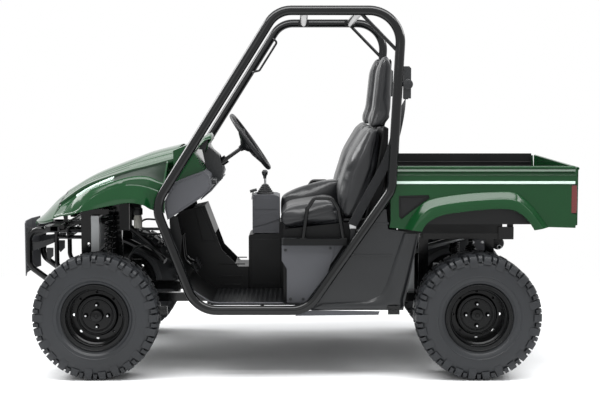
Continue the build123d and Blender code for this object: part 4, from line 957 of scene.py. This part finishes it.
class VEHICLE_OT_gear_lever(bpy.types.Operator):
    """Adds the gear lever with its bellows and knob, and the brake handle beside it"""
    bl_idname = "vehicle.gear_lever"
    bl_label = "Gear lever"

    def execute(self, context):
        x, y, _ = node_centre("gear_lever")
        lever = Shape()
        profile = [(48, 879)]
        for rib in range(5):
            reach = 46 - rib * 6.5
            profile += [(reach, 884 + rib * 10), (reach - 1, 888 + rib * 10), (reach - 7, 891 + rib * 10)]
        lever.turned(profile + [(9, 934), (0, 934)], (x, y, 0), 40, 0, "Z")
        lever.swept([(x, y, 926), (x + 1, y, 984)], 6, 2, sides=14)
        lever.turned([(0, 1010), (9, 1009), (15, 1003), (17, 995), (15, 984), (10, 976), (8, 966), (9, 962)],
                     (x + 2, y, 0), 28, 1, "Z")
        lever.piece("gear_lever_boot", "chassis",
                    "moulded_rubber grained_black_polypropylene zinc_plated_steel",
                    "black_rubber", "gear_lever", crease_angle=50)
        handle = Shape()
        handle.swept([(214, 64, 850), (210, 64, 892)], 5, 1, sides=12)
        handle.swept(rounded([(226, 64, 893), (210, 64, 899), (190, 64, 903)], 12), 8, sides=14)
        handle.piece("brake_handle", "chassis", "grained_black_polypropylene zinc_plated_steel",
                     "black_plastic")
        return {"FINISHED"}


class VEHICLE_OT_console(bpy.types.Operator):
    """Adds the two-part console with its pressed creases, lever plate and cup rings"""
    bl_idname = "vehicle.console"
    bl_label = "Console"

    def execute(self, context):
        box = Shape()
        box.prism([(212, 672), (212, 868), (204, 876), (84, 876), (67, 868), (67, 672)], -107, 107)
        for side in (-1, 1):
            low, high = sorted((side * 107, side * 110))
            box.prism([(212, 704), (140, 722), (67, 748), (67, 786), (152, 775), (200, 738), (212, 734)], low,
                      high)
            low, high = sorted((side * 107, side * 109))
            box.prism([(206, 800), (206, 862), (78, 862), (74, 800)], low, high)
        box.block((90, -22, 876), (204, 100, 879))
        for y in (-64,):
            box.turned([(33, -2), (34, 3), (38, 5), (41, 2), (41, -2)], (140, y, 876), 40, 1, "Z")
            box.turned([(0, 0.6), (33, 0.6)], (140, y, 876), 40, 1, "Z")
        box.piece("console_box", "chassis", "grained_grey_polypropylene moulded_rubber", "grey_plastic",
                  "console",
                  bevel=3)
        foot = Shape()
        foot.prism([(233, 372.5), (233, 655), (226, 664), (67, 670), (67, 733), (41, 733), (41, 372.5)], -110,
                   110)
        for side in (-1, 1):
            low, high = sorted((side * 110, side * 113))
            foot.prism([(220, 390), (220, 640), (60, 640), (60, 390)], low, high)
        foot.piece("console_foot", "chassis", "blow_moulded_polyethylene", "black_plastic", bevel=3)
        return {"FINISHED"}


class VEHICLE_OT_floor(bpy.types.Operator):
    """Adds the floor mats, pedals, tunnel ribs and sill trims"""
    bl_idname = "vehicle.floor"
    bl_label = "Floor fittings"

    def execute(self, context):
        mat = Shape()
        for side in (-1, 1):
            low, high = sorted((side * 140, side * 575))
            mat.block((48, low, 372), (400, high, 375))
            for row in range(14):
                for column in range(16):
                    x = 54 + row * 25
                    y = low + 8 + column * 27
                    mat.block((x, y, 375), (x + 14, y + 19, 378))
        mat.piece("floor_mats", "chassis", "moulded_rubber", "black_rubber", bevel=0.8, bevel_steps=1)

        pedals = Shape()
        for y, width, lift in ((350, 46, 0), (255, 74, 12)):
            pedals.prism([(486 - lift, 498 + lift), (514 - lift, 548 + lift), (521 - lift, 544 + lift),
                          (493 - lift, 494 + lift)], y - width / 2, y + width / 2)
            for step in range(4):
                x, z = 484 - lift + 8 * step, 505 + lift + 13 * step
                pedals.block((x, y - width / 2 + 5, z), (x + 5, y + width / 2 - 5, z + 4))
            pedals.swept(rounded([(510 - lift, y, 524 + lift), (556, y, 560), (566, y, 690)], 30), 8, 1)
        pedals.piece("pedals", "chassis", "moulded_rubber powder_coated_steel", "black_rubber", bevel=1.5)

        trim = Shape()
        for side in (-1, 1):
            wall = side * 130
            low, high = sorted((wall, wall + side * 5))
            for x_low, x_high, z in ((252, 393, 508), (261, 393, 441), (269, 377, 396)):
                trim.block((x_low, low, z - 3), (x_high, high, z + 3), 1)
            trim.prism([(522, 812), (486, 812), (408, 632), (480, 632)], *sorted((wall, wall + side * 6)), 1)
        trim.piece("tunnel_trims", "chassis", "grained_black_polypropylene blow_moulded_polyethylene",
                   "black_plastic", bevel=2)

        liner = Shape()
        liner.prism([(612, 812), (604, 640), (586, 540), (540, 470), (530, 480), (560, 600), (548, 700),
                     (572, 812)],
                    560, 566)
        liner.both().piece("kick_liners", "chassis", "blow_moulded_polyethylene", "black_plastic", bevel=2)
        sill = Shape()
        sill.prism([(-21, 312), (-21, 322), (-106, 341), (-444, 335), (-437, 317)], 598, 602)
        sill.swept(rounded([(40, 590, 374), (371, 590, 374), (407, 590, 378), (535, 590, 464)], 20), 5)
        sill.both().piece("sill_trims", "chassis", "grained_grey_polypropylene", "grey_plastic", bevel=1.2)
        return {"FINISHED"}


# seat outlines in side view, a little inside the space that the pads may fill
CUSHION = [(34, 752), (54, 770), (58, 800), (44, 838), (-60, 856), (-215, 880), (-250, 800), (-252, 774)]
BACK = [(-268, 800), (-236, 888), (-300, 1096), (-396, 1258), (-440, 1252), (-432, 1060), (-372, 800)]
HEAD = [(-392, 1250), (-428, 1340), (-452, 1580), (-482, 1626), (-506, 1580), (-496, 1300), (-450, 1250)]
HUMP = [(60, 745), (60, 862), (17, 886), (-210, 954), (-262, 955), (-272, 790)]
# seams sewn into the pads' sides, and how far in from each side the lengthwise seams lie
CUSHION_SEAMS = [[(62, 785), (-59, 800), (-254, 845)], [(52, 742), (-59, 750), (-260, 790)]]
BACK_SEAMS = [[(-236, 800), (-262, 858), (-312, 1039), (-410, 1262)], [(-290, 785), (-329, 862), (-400, 1040),
                                                                       (-446, 1262)]]
HEAD_SEAMS = [[(-408, 1255), (-440, 1340), (-466, 1590), (-484, 1636)]]


def line_distance(x, z, line):
    """Shortest distance in side view from a point to a run of straight lines."""
    nearest = 1e9
    for (ax, az), (bx, bz) in zip(line, line[1:]):
        length = (bx - ax) ** 2 + (bz - az) ** 2
        t = max(0, min(1, ((x - ax) * (bx - ax) + (z - az) * (bz - az)) / length))
        nearest = min(nearest, math.hypot(x - ax - t * (bx - ax), z - az - t * (bz - az)))
    return nearest


SWELL_STEPS, SWELL_PRESSURE, SMOOTH_ROUNDS = 14, 4, 14
PAD_GRID, QUICK_PAD_GRID, QUICK_SWELL = 0.006, 0.009, 0.004


def padded_pad(name, outline, y_low, y_high, seams, inset, sizes, edge=18.0):
    """Pad from a side outline: rounded, swollen by pressure, smoothed, then pressed in along its seams."""
    base = Shape()
    base.prism(outline, y_low, y_high)
    mesh = bpy.data.meshes.new(name)
    mesh.from_pydata([[value * MM for value in point] for point in base.points], [], base.faces)
    tidy = bmesh.new()
    tidy.from_mesh(mesh)
    bmesh.ops.recalc_face_normals(tidy, faces=tidy.faces)
    bmesh.ops.bevel(tidy, geom=tidy.edges[:], offset=edge * MM, segments=3, affect="EDGES", profile=0.5)
    tidy.to_mesh(mesh)
    tidy.free()
    made = bpy.data.objects.new(name, mesh)
    bpy.context.scene.collection.objects.link(made)
    voxel = made.modifiers.new("remesh", "REMESH")
    voxel.mode = "VOXEL"
    voxel.voxel_size = PAD_GRID
    graph = bpy.context.evaluated_depsgraph_get()
    solid = bpy.data.meshes.new_from_object(made.evaluated_get(graph))
    made.modifiers.clear()
    made.data = solid
    rest = [vertex.co.copy() for vertex in solid.vertices]
    cloth = made.modifiers.new("swell", "CLOTH")
    cloth.settings.use_pressure = True
    cloth.settings.uniform_pressure_force = SWELL_PRESSURE
    cloth.settings.effector_weights.gravity = 0
    cloth.settings.quality = 4
    cloth.settings.tension_stiffness = 25
    cloth.settings.compression_stiffness = 25
    cloth.settings.bending_stiffness = 8
    for step in range(1, SWELL_STEPS + 1):
        bpy.context.scene.frame_set(step)
    graph = bpy.context.evaluated_depsgraph_get()
    blown = bpy.data.meshes.new_from_object(made.evaluated_get(graph))
    made.modifiers.clear()
    made.data = blown
    for vertex, start in zip(blown.vertices, rest):
        move = vertex.co - start
        if move.length > sizes.pad_cap:
            vertex.co = start + move.normalized() * sizes.pad_cap
    bpy.context.scene.frame_set(1)
    # foam under the vinyl evens out the small creases
    tidy = bmesh.new()
    tidy.from_mesh(blown)
    for _ in range(SMOOTH_ROUNDS):
        bmesh.ops.smooth_vert(tidy, verts=tidy.verts, factor=0.5, use_axis_x=True, use_axis_y=True,
                              use_axis_z=True)
    tidy.to_mesh(blown)
    tidy.free()
    blown.update()
    # seams: pressed in as soft grooves, drawn wider than real so that they show
    mesh = made.data
    moved = []
    for vertex in mesh.vertices:
        x, y, z = (value / MM for value in vertex.co)
        depth = 0.0
        if abs(vertex.normal.y) > 0.45:
            for line in seams:
                depth = max(depth, math.exp(-(line_distance(x, z, line) / 6.5) ** 2))
        if inset and abs(vertex.normal.y) < 0.75:
            for seam_y in (y_low + inset, y_high - inset):
                depth = max(depth, math.exp(-((y - seam_y) / 7.5) ** 2))
        moved.append(vertex.co - vertex.normal * depth * sizes.seam_depth)
    for vertex, place in zip(mesh.vertices, moved):
        vertex.co = place
    smooth = made.modifiers.new("smooth", "SUBSURF")
    smooth.levels = smooth.render_levels = 1
    mesh.materials.clear()
    mesh.materials.append(bpy.data.materials["embossed_vinyl_hide"])
    mesh.shade_smooth()
    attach(made, "chassis")
    return made


class VEHICLE_OT_seats(bpy.types.Operator):
    """Adds the seat cushions, backs, head pads and the hump between them, and the seat latches"""
    bl_idname = "vehicle.seats"
    bl_label = "Seats"

    def execute(self, context):
        sizes = context.scene.vehicle_sizes
        for side, y_low, y_high in (("left", 76, 542), ("right", -542, -76)):
            middle = (y_low + y_high) / 2
            cushion = padded_pad(f"cushion_pad_{side}", CUSHION, y_low, y_high, CUSHION_SEAMS, 90, sizes)
            back = padded_pad(f"backrest_pad_{side}", BACK, y_low, y_high, BACK_SEAMS, 90, sizes)
            head = padded_pad(f"headrest_pad_{side}", HEAD, middle - 115, middle + 115, HEAD_SEAMS, 40, sizes)
            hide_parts(f"seat_cushion_{side}")
            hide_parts(f"seat_back_{side}")
            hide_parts(f"seat_back_{side}")
            shell = Shape()
            shell.prism([(-264, 783), (-380, 788), (-441, 1060), (-470, 1258), (-461, 1258), (-430, 1060),
                         (-370, 800),
                         (-264, 795)], y_low - 4, y_high + 4)
            for edge in (y_low + 20, y_high - 38):
                shell.prism([(-372, 790), (-436, 796), (-484, 1058), (-488, 1250), (-466, 1262),
                             (-436, 1060)], edge,
                            edge + 18)
            shell.prism([(-470, 1255), (-502, 1300), (-513, 1586), (-506, 1600), (-498, 1500), (-490, 1300),
                         (-460, 1255)], middle - 60, middle + 60)
            shell.piece(f"seat_shell_{side}", "chassis", "blow_moulded_polyethylene", "black_plastic",
                        bevel=3)
        hump = padded_pad("centre_pad", HUMP, -58, 58, [], 0, sizes)
        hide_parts("console")
        latch = Shape()
        for side in (-1, 1):
            y = side * 66
            low, high = sorted((y, y + side * -6))
            latch.prism([(-262, 940), (-270, 998), (-298, 1019), (-310, 1000), (-307, 953), (-290, 930)], low,
                        high, 1)
            latch.swept([(-288, y + side * -8, 1004), (-288, y + side * 6, 1004)], 9, 0)
        for side in (-1, 1):
            low, high = sorted((side * 552, side * 562))
            latch.prism([(48, 700), (-29, 700), (-22, 684), (-17, 668), (48, 668)], low, high, 0)
            latch.bolt((10, side * 564, 686), side=side, size=5, height=4, finish=1)
        latch.piece("seat_latches", "chassis", "grained_black_polypropylene zinc_plated_steel", "black_steel",
                    bevel=2)
        return {"FINISHED"}


class VEHICLE_OT_side_panels(bpy.types.Operator):
    """Adds the grey covers under the seats and the black panels ahead of the rear wheels"""
    bl_idname = "vehicle.side_panels"
    bl_label = "Side panels"

    def execute(self, context):
        cover = Shape()
        cover.prism([(48, 664), (48, 585), (23, 544), (23, 373), (-70, 373), (-262, 664)], 558, 561)
        cover.prism([(48, 664), (48, 587), (22, 546), (22, 373), (-70, 373), (-183, 523), (-206, 601),
                     (-217, 655),
                     (-217, 664)], 561, 565)
        cover.prism([(-222, 664), (-262, 664), (-200, 570), (-212, 604)], 561, 563)
        for x, z in ((30, 640), (4, 392), (-196, 650), (-60, 392)):
            cover.bolt((x, 565, z), size=5, height=4, finish=1)
        cover.both().piece("seat_side_covers", "chassis",
                           "grained_grey_polypropylene grained_black_polypropylene",
                           "grey_plastic", "side_covers", bevel=2.5)
        centre = node_centre("rear_side_panel_left")
        panel_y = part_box("rear_side_panel_left")[0][1] / MM
        panel = Shape()
        panel.prism([(-80, 339), (-563, 339), (-640, 727), (-484, 748), (-475, 847), (-415, 847),
                     (-285, 664)],
                    panel_y, panel_y + 4)
        # swollen flange along the rear and foot, and two pressed ribs
        inner = [(-560, 728), (-519, 604), (-467, 449), (-406, 395), (-330, 384), (-167, 376)]
        outer = [(-634, 727), (-594, 527), (-563, 400), (-540, 345), (-330, 341), (-100, 341)]
        rows = []
        for (ix, iz), (ox, oz) in zip(spline(inner, 5), spline(outer, 5)):
            rows.append([(ix + (ox - ix) * t, panel_y + 3.9 + rise, iz + (oz - iz) * t) for t, rise in
                         ((0, 0), (0.12, 10), (0.2, 14), (0.5, 17), (0.8, 15), (0.93, 9), (1, 0))])
        panel.grid(rows)
        for start, end in (((-305, 612), (-504, 612)), ((-396, 766), (-488, 774))):
            panel.prism([start, end, (end[0], end[1] + 9), (start[0], start[1] + 9)], panel_y + 3,
                        panel_y + 8)
        for x, z in ((-186, 500), (-394, 800)):
            panel.bolt((x, panel_y + 4, z), size=6, height=5)
            panel.turned([(8, 2), (8, centre[1] - panel_y + 12)], (x, panel_y, z), 16)
        for side, shape in (("left", panel), ("right", panel.mirrored())):
            shape.piece(f"rear_cover_{side}", "chassis", "grained_black_polypropylene", "black_plastic",
                        f"rear_side_panel_{side}", bevel=1.5)
        return {"FINISHED"}


class VEHICLE_OT_belts(bpy.types.Operator):
    """Adds the belt reels, webbing and anchors"""
    bl_idname = "vehicle.belts"
    bl_label = "Seat belts"

    def execute(self, context):
        low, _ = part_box("belt_reels")
        x_low = low[0] / MM
        belt = Shape()
        belt.prism([(x_low + 2, 1400), (x_low + 2, 1548), (x_low + 12, 1558), (x_low + 36, 1558),
                    (x_low + 37, 1400)],
                   568, 634)
        belt.turned([(26, 3), (26, 6), (20, 9), (0, 9)], (x_low + 19, 634, 1470), 28)
        belt.block((x_low + 14, 564, 1396), (x_low + 34, 614, 1406), 3)
        route = [(x_low + 24, 589, 1402), (-532, 589, 1276), (-486, 589, 1112), (-400, 589, 946),
                 (-305, 589, 768)]
        line = spline(route, 8)
        # the webbing turns its flat side outward between the reel and the anchor
        facing = []
        for step in range(len(line)):
            turn = math.pi / 2 * min(1, step / 10)
            facing.append((math.sin(turn) * 0.94, math.cos(turn), math.sin(turn) * 0.34))
        belt.strap(line, facing, 46, 2.4, 1)
        # anchor: tongue, buckle and bolt
        belt.prism([(-326, 772), (-290, 772), (-293, 750), (-323, 750)], 586, 590, 2)
        belt.prism([(-320, 752), (-296, 752), (-294, 664), (-300, 655), (-314, 655), (-322, 664)], 590, 598,
                   3)
        belt.bolt((-305, 598, 676), size=8, height=7, finish=2)
        belt.both().piece("seat_belts", "chassis",
                          "grained_black_polypropylene woven_polyester zinc_plated_steel "
                          "moulded_rubber", "black_plastic", "belt_reels", bevel=0.8, bevel_steps=1)
        return {"FINISHED"}


# ---------------------------------------------------------------- cargo bed
BED_OUTLINE = [(-496, 1054), (-496, 790), (-490, 758), (-570, 748), (-600, 800), (-640, 857), (-688, 897),
               (-861, 928), (-1035, 939), (-1106, 935), (-1148, 914), (-1212, 854), (-1283, 760),
               (-1418, 756),
               (-1424, 824), (-1396, 828), (-1396, 972), (-1424, 976), (-1420, 1054)]
FLARE_CROWN = [(-564, 752), (-619, 840), (-688, 897), (-861, 928), (-1035, 939), (-1106, 935), (-1148, 914),
               (-1212, 854), (-1283, 760)]
FLARE_LIP = [(-648, 742), (-676, 784), (-738, 819), (-836, 838), (-1003, 854), (-1094, 850), (-1143, 826),
             (-1185, 784), (-1207, 749)]
BED_WINDOW = [(-535, 917), (-685, 921), (-690, 905), (-612, 847), (-550, 798), (-537, 812)]


class VEHICLE_OT_bed_sides(bpy.types.Operator):
    """Adds the bed sides with their wheel flares, window, rail, and a bead painted pale as a painted
    highlight
    """
    bl_idname = "vehicle.bed_sides"
    bl_label = "Bed sides"

    def execute(self, context):
        shape = Shape()
        outline = [Vector((x, z, 0)) for x, z in BED_OUTLINE]
        window = [Vector((x, z, 0)) for x, z in BED_WINDOW]
        triangles = geometry.tessellate_polygon([outline, window])
        shape.add([(p.x, 600, p.y) for p in outline + window], [list(face) for face in triangles])
        shape.add([(p.x, 582, p.y) for p in outline + window], [list(face)[::-1] for face in triangles])
        for ring, finish in ((BED_OUTLINE, 0), (BED_WINDOW, 0)):
            shape.grid([[(x, y, z) for x, z in ring] for y in (600, 582)], finish, around=True)
        # dark liner seen through the window, with a raised plate on it
        shape.add([(x, 584, z) for x, z in BED_WINDOW], [list(range(len(BED_WINDOW)))], 1)
        shape.prism([(-545, 905), (-672, 908), (-610, 856), (-552, 812)], 584, 588, 1)
        crown = spline(FLARE_CROWN, 6)
        lip = spline(FLARE_LIP, 6)
        rows = []
        for (cx, cz), (lx, lz) in zip(crown, lip):
            row = []
            for along, out in ((0, 0.5), (0.015, 5), (0.03, 6.5), (0.2, 19), (0.4, 34), (0.42, 36), (0.5, 39),
                               (0.62, 41.5), (0.8, 44), (0.95, 45), (0.99, 44.5), (1, 42)):
                row.append((cx + (lx - cx) * along, 600 + out, cz + (lz - cz) * along))
            row += [(lx, 636, lz - 1), (lx, 632, lz + 3), (lx, 600, lz + 8), (lx, 582, lz + 8)]
            rows.append(row)
        shape.grid(rows)
        # round top rail over a sloped ledge, a bead painted pale as a painted highlight, and two thin beads
        shape.swept([(-496, 596, 1057), (-1412, 596, 1057)], 8, sides=14)
        for low, high, foot, top in ((1038, 1051, 7.5, 0), (976, 990, 3.5, 3), (1030, 1034, 2, 1),
                                     (1018, 1022, 2, 1)):
            bead = [(x, 600 + o, z) for x in (-500, -1412) for o, z in
                    ((0, low), (foot, low + 1), (top, high - 1), (0, high))]
            shape.add(bead, [[0, 1, 5, 4], [1, 2, 6, 5], [2, 3, 7, 6], [0, 3, 2, 1], [4, 5, 6, 7]],
                      2 if high == 990 else 0)
        # tie-down studs on the rail
        for x in (-640, -860, -1080, -1300):
            shape.swept([(x, 593, 1060), (x, 593, 1064.5)], 5, 3, sides=10)
        finishes = "gloss_moulded_polypropylene enamelled_sheet_steel cast_vinyl_stripe powder_coated_steel"
        for name, half in (("left", shape), ("right", shape.mirrored())):
            half.piece(f"bed_skin_{name}", "cargo_bed", finishes, "green_body", f"bed_side_{name}", bevel=1.0,
                       bevel_steps=1, crease_angle=28)
        return {"FINISHED"}


class VEHICLE_OT_bed_fittings(bpy.types.Operator):
    """Adds the bed's floor ribs and corner posts, the pressed tailgate and the tail lamps"""
    bl_idname = "vehicle.bed_fittings"
    bl_label = "Bed fittings"

    def execute(self, context):
        ribs = Shape()
        for step in range(11):
            y = -500 + 100 * step
            ribs.prism([(-520, 775.5), (-526, 783), (-1396, 783), (-1402, 775.5)], y - 16, y + 16)
        for x in (-506, -1410):
            for y in (-574, 566):
                ribs.block((x, y, 777), (x + 8, y + 8, 1050))
        for y in (-1, 1):
            low, high = sorted((y * 578, y * 572))
            ribs.prism([(-510, 1010), (-1408, 1010), (-1408, 1018), (-510, 1018)], low, high)
        ribs.piece("bed_ribs", "cargo_bed", "enamelled_sheet_steel", "bed_black", bevel=2)

        gate = Shape()
        gate.block((-1434, -574, 766), (-1423, 574, 1058))
        gate.prism([(-1434, 800), (-1441, 812), (-1441, 1010), (-1434, 1022)], -500, -40)
        gate.prism([(-1434, 800), (-1441, 812), (-1441, 1010), (-1434, 1022)], 40, 500)
        gate.swept([(-1431, -574, 1051), (-1431, 574, 1051)], 8, sides=14)
        gate.piece("tailgate_skin", "tailgate", "gloss_moulded_polypropylene", "green_body", "tailgate",
                   bevel=3)
        handle = Shape()
        handle.block((-1438, -34, 980), (-1434, 34, 1024))
        handle.swept(rounded([(-1435, -26, 990), (-1441, -24, 1002), (-1441, 24, 1002), (-1435, 26, 990)], 8),
                     1.4,
                     sides=8)
        for side in (-1, 1):
            handle.swept([(-1433, side * 300, 772), (-1433, side * 360, 772)], 7, 1, sides=12)
        handle.piece("tailgate_handle", "tailgate", "grained_black_polypropylene zinc_plated_steel",
                     "black_plastic",
                     bevel=1)

        lamp = Shape()
        low, high = ([value / MM for value in corner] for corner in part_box("tail_lamps"))
        inner = high[1] - 22
        rows = []
        for step in range(31):
            z = low[2] + 3 + (high[2] - low[2] - 6) * step / 30
            crown = 3 - 3 * (abs(step - 15) / 15) ** 3
            rib = 1.0 if step % 2 else 0.0
            rows.append([(low[0] + 6, inner, z), (low[0] + 2 - crown + rib + 1, inner + 2, z),
                         (low[0] + 2 - crown + rib + 1, high[1] - 3, z), (low[0] + 6, high[1] - 0.5, z),
                         (high[0], high[1] - 0.5, z)])
        lamp.grid(rows)
        lamp.block((low[0] + 8, inner, low[2]), (high[0], high[1] - 1, high[2]), 1)
        lamp.both().piece("tail_lamp_lenses", "cargo_bed", "red_acrylic grained_black_polypropylene",
                          "lamp_red",
                          "tail_lamps", bevel=0.6, bevel_steps=1)
        return {"FINISHED"}


# ---------------------------------------------------------------- tubes
class VEHICLE_OT_tube_fittings(bpy.types.Operator):
    """Adds the joint collars, plates and bolts on the guard hoops and frame"""
    bl_idname = "vehicle.tube_fittings"
    bl_label = "Tube fittings"

    def execute(self, context):
        shape = Shape()
        low, high = ([value / MM for value in corner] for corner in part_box("roof_crossbars"))
        for x in (low[0] + 21, high[0] - 21):
            for side in (-1, 1):
                y = side * 611
                shape.turned([(21.5, y - side * 7), (24, y - side * 5), (24, y + side * 2),
                              (21.5, y + side * 4)],
                             (x, 0, 1829), 28)
        # foot plates of the hoops on the frame
        for x, z in ((662, 338), (-500, 338)):
            shape.block((x - 42, 612, z - 16), (x + 16, 620, z + 26))
            shape.bolt((x - 26, 620, z + 6), size=8, height=7)
            shape.bolt((x, 620, z + 6), size=8, height=7)
        shape.both().piece("hoop_fittings", "chassis", "powder_coated_steel", "black_steel", bevel=1.2)
        return {"FINISHED"}


# ---------------------------------------------------------------- stage
class VEHICLE_OT_studio(bpy.types.Operator):
    """Sets up the pale floor, the soft studio light and the camera"""
    bl_idname = "vehicle.studio"
    bl_label = "Studio"

    def execute(self, context):
        scene = context.scene
        studio = scene.vehicle_studio
        sheet = bpy.data.meshes.new("studio_floor")
        sheet.from_pydata([(-14, -14, -0.0005), (14, -14, -0.0005), (14, 14, -0.0005), (-14, 14, -0.0005)],
                          [],
                          [(0, 1, 2, 3)])
        floor = bpy.data.objects.new("studio_floor", sheet)
        scene.collection.objects.link(floor)
        paper = bpy.data.materials.new("matte_paper")
        paper.use_nodes = True
        tree = paper.node_tree
        tree.nodes.clear()
        # matte white paper that turns into the white background away from the object's shadow
        place = add_node(tree, "ShaderNodeTexCoord").outputs["Object"]
        reach = add_node(tree, "ShaderNodeVectorMath", {0: place}, operation="LENGTH").outputs["Value"]
        far = add_node(tree, "ShaderNodeMapRange", {"Value": reach, "From Min": 1.9, "From Max": 3.6},
                       interpolation_type="SMOOTHSTEP").outputs["Result"]
        matte = add_node(tree, "ShaderNodeBsdfDiffuse", {"Color": list(studio.paper)}).outputs["BSDF"]
        white = add_node(tree, "ShaderNodeEmission",
                         {"Color": (1, 1, 1, 1), "Strength": 1.0}).outputs["Emission"]
        seen = self.direct_rays(tree)
        share = add_node(tree, "ShaderNodeMath", {0: far, 1: seen}, operation="MULTIPLY").outputs["Value"]
        mixed = add_node(tree, "ShaderNodeMixShader", {0: share, 1: matte, 2: white}).outputs["Shader"]
        add_node(tree, "ShaderNodeOutputMaterial", {"Surface": mixed})
        sheet.materials.append(paper)
        floor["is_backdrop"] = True

        world = bpy.data.worlds.new("studio")
        scene.world = world
        world.use_nodes = True
        tree = world.node_tree
        tree.nodes.clear()
        level = add_node(tree, "ShaderNodeMapRange", {"Value": self.direct_rays(tree), "To Min": studio.world,
                                                      "To Max": 1.0}).outputs["Result"]
        sky = add_node(tree, "ShaderNodeBackground",
                       {"Color": (1, 1, 1, 1), "Strength": level}).outputs["Background"]
        add_node(tree, "ShaderNodeOutputWorld", {"Surface": sky})
        for name, where, size, power, aim in (
                ("overhead_strip", (0.0, 1.4, 3.6), (5.2, 1.2), studio.overhead, (0, 0, 0.6)),
                ("side_softbox", (1.6, 5.2, 2.6), (3.0, 1.6), studio.side, (0, 0, 0.7)),
                ("front_softbox", (3.4, -0.9, 3.1), (2.2, 1.8), studio.overhead * 0.7, (0.9, 0.4, 0.9)),
                ("rear_softbox", (-3.3, -0.2, 3.1), (2.0, 1.6), studio.overhead * 0.5, (-1.0, 0.6, 0.9)),
                ("far_strip", (0.0, -2.6, 3.0), (4.0, 0.9), studio.side * 1.3, (0, 0, 0.8))):
            lamp = bpy.data.lights.new(name, "AREA")
            lamp.shape = "RECTANGLE"
            lamp.size, lamp.size_y = size
            lamp.energy = power
            made = bpy.data.objects.new(name, lamp)
            made.location = where
            made.rotation_euler = (Vector(aim) - Vector(where)).to_track_quat("-Z", "Y").to_euler()
            scene.collection.objects.link(made)
        lens = bpy.data.cameras.new("side_camera")
        lens.lens = studio.lens
        lens.sensor_width = 36
        camera = bpy.data.objects.new("side_camera", lens)
        camera.location = (-0.0437, 6.8028, 1.46107)
        camera.rotation_euler = (math.radians(84.794), 0, math.radians(180))
        scene.collection.objects.link(camera)
        scene.camera = camera
        scene.view_settings.view_transform = "Standard"
        return {"FINISHED"}

    @staticmethod
    def direct_rays(tree):
        """1 where the camera, a reflection or a view through glass meets the background."""
        rays = add_node(tree, "ShaderNodeLightPath").outputs
        seen = rays["Is Camera Ray"]
        for kind in ("Is Glossy Ray", "Is Transmission Ray"):
            seen = add_node(tree, "ShaderNodeMath", {0: seen, 1: rays[kind]},
                            operation="MAXIMUM").outputs["Value"]
        return seen


# ---------------------------------------------------------------- panel and registration
OPERATORS = (
    VEHICLE_OT_studio, VEHICLE_OT_finishes, VEHICLE_OT_tyres, VEHICLE_OT_hood, VEHICLE_OT_fenders,
    VEHICLE_OT_nose,
    VEHICLE_OT_guard, VEHICLE_OT_springs, VEHICLE_OT_engine_bay, VEHICLE_OT_dash, VEHICLE_OT_steering_wheel,
    VEHICLE_OT_gear_lever, VEHICLE_OT_console, VEHICLE_OT_floor, VEHICLE_OT_seats, VEHICLE_OT_side_panels,
    VEHICLE_OT_belts, VEHICLE_OT_bed_sides, VEHICLE_OT_bed_fittings, VEHICLE_OT_tube_fittings,
)


class VEHICLE_PT_vehicle(bpy.types.Panel):
    """Colours, sizes and the pieces to build"""
    bl_idname = "VEHICLE_PT_vehicle"
    bl_label = "Vehicle"
    bl_space_type = "VIEW_3D"
    bl_region_type = "UI"
    bl_category = "Vehicle"

    def draw(self, context):
        for group in (context.scene.vehicle_colours, context.scene.vehicle_sizes,
                      context.scene.vehicle_studio):
            box = self.layout.box()
            for name in group.__annotations__:
                box.prop(group, name)
        for operator in OPERATORS:
            self.layout.operator(operator.bl_idname)


GROUPS = {"vehicle_colours": VehicleColours, "vehicle_sizes": VehicleSizes, "vehicle_studio": VehicleStudio}


def register():
    for name, group in GROUPS.items():
        bpy.utils.register_class(group)
        setattr(bpy.types.Scene, name, PointerProperty(type=group))
    for kind in (*OPERATORS, VEHICLE_PT_vehicle):
        bpy.utils.register_class(kind)


def unregister():
    for kind in reversed((*OPERATORS, VEHICLE_PT_vehicle)):
        bpy.utils.unregister_class(kind)
    for name, group in GROUPS.items():
        delattr(bpy.types.Scene, name)
        bpy.utils.unregister_class(group)


def main():
    register()
    for operator in OPERATORS:
        getattr(bpy.ops.vehicle, operator.bl_idname.split(".")[1])()
    boxes = {"cad": CAD_BOX, "visual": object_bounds()}
    {name: [list(corner) for corner in box] for name, box in boxes.items()}


if __name__ == "__main__":
    main()
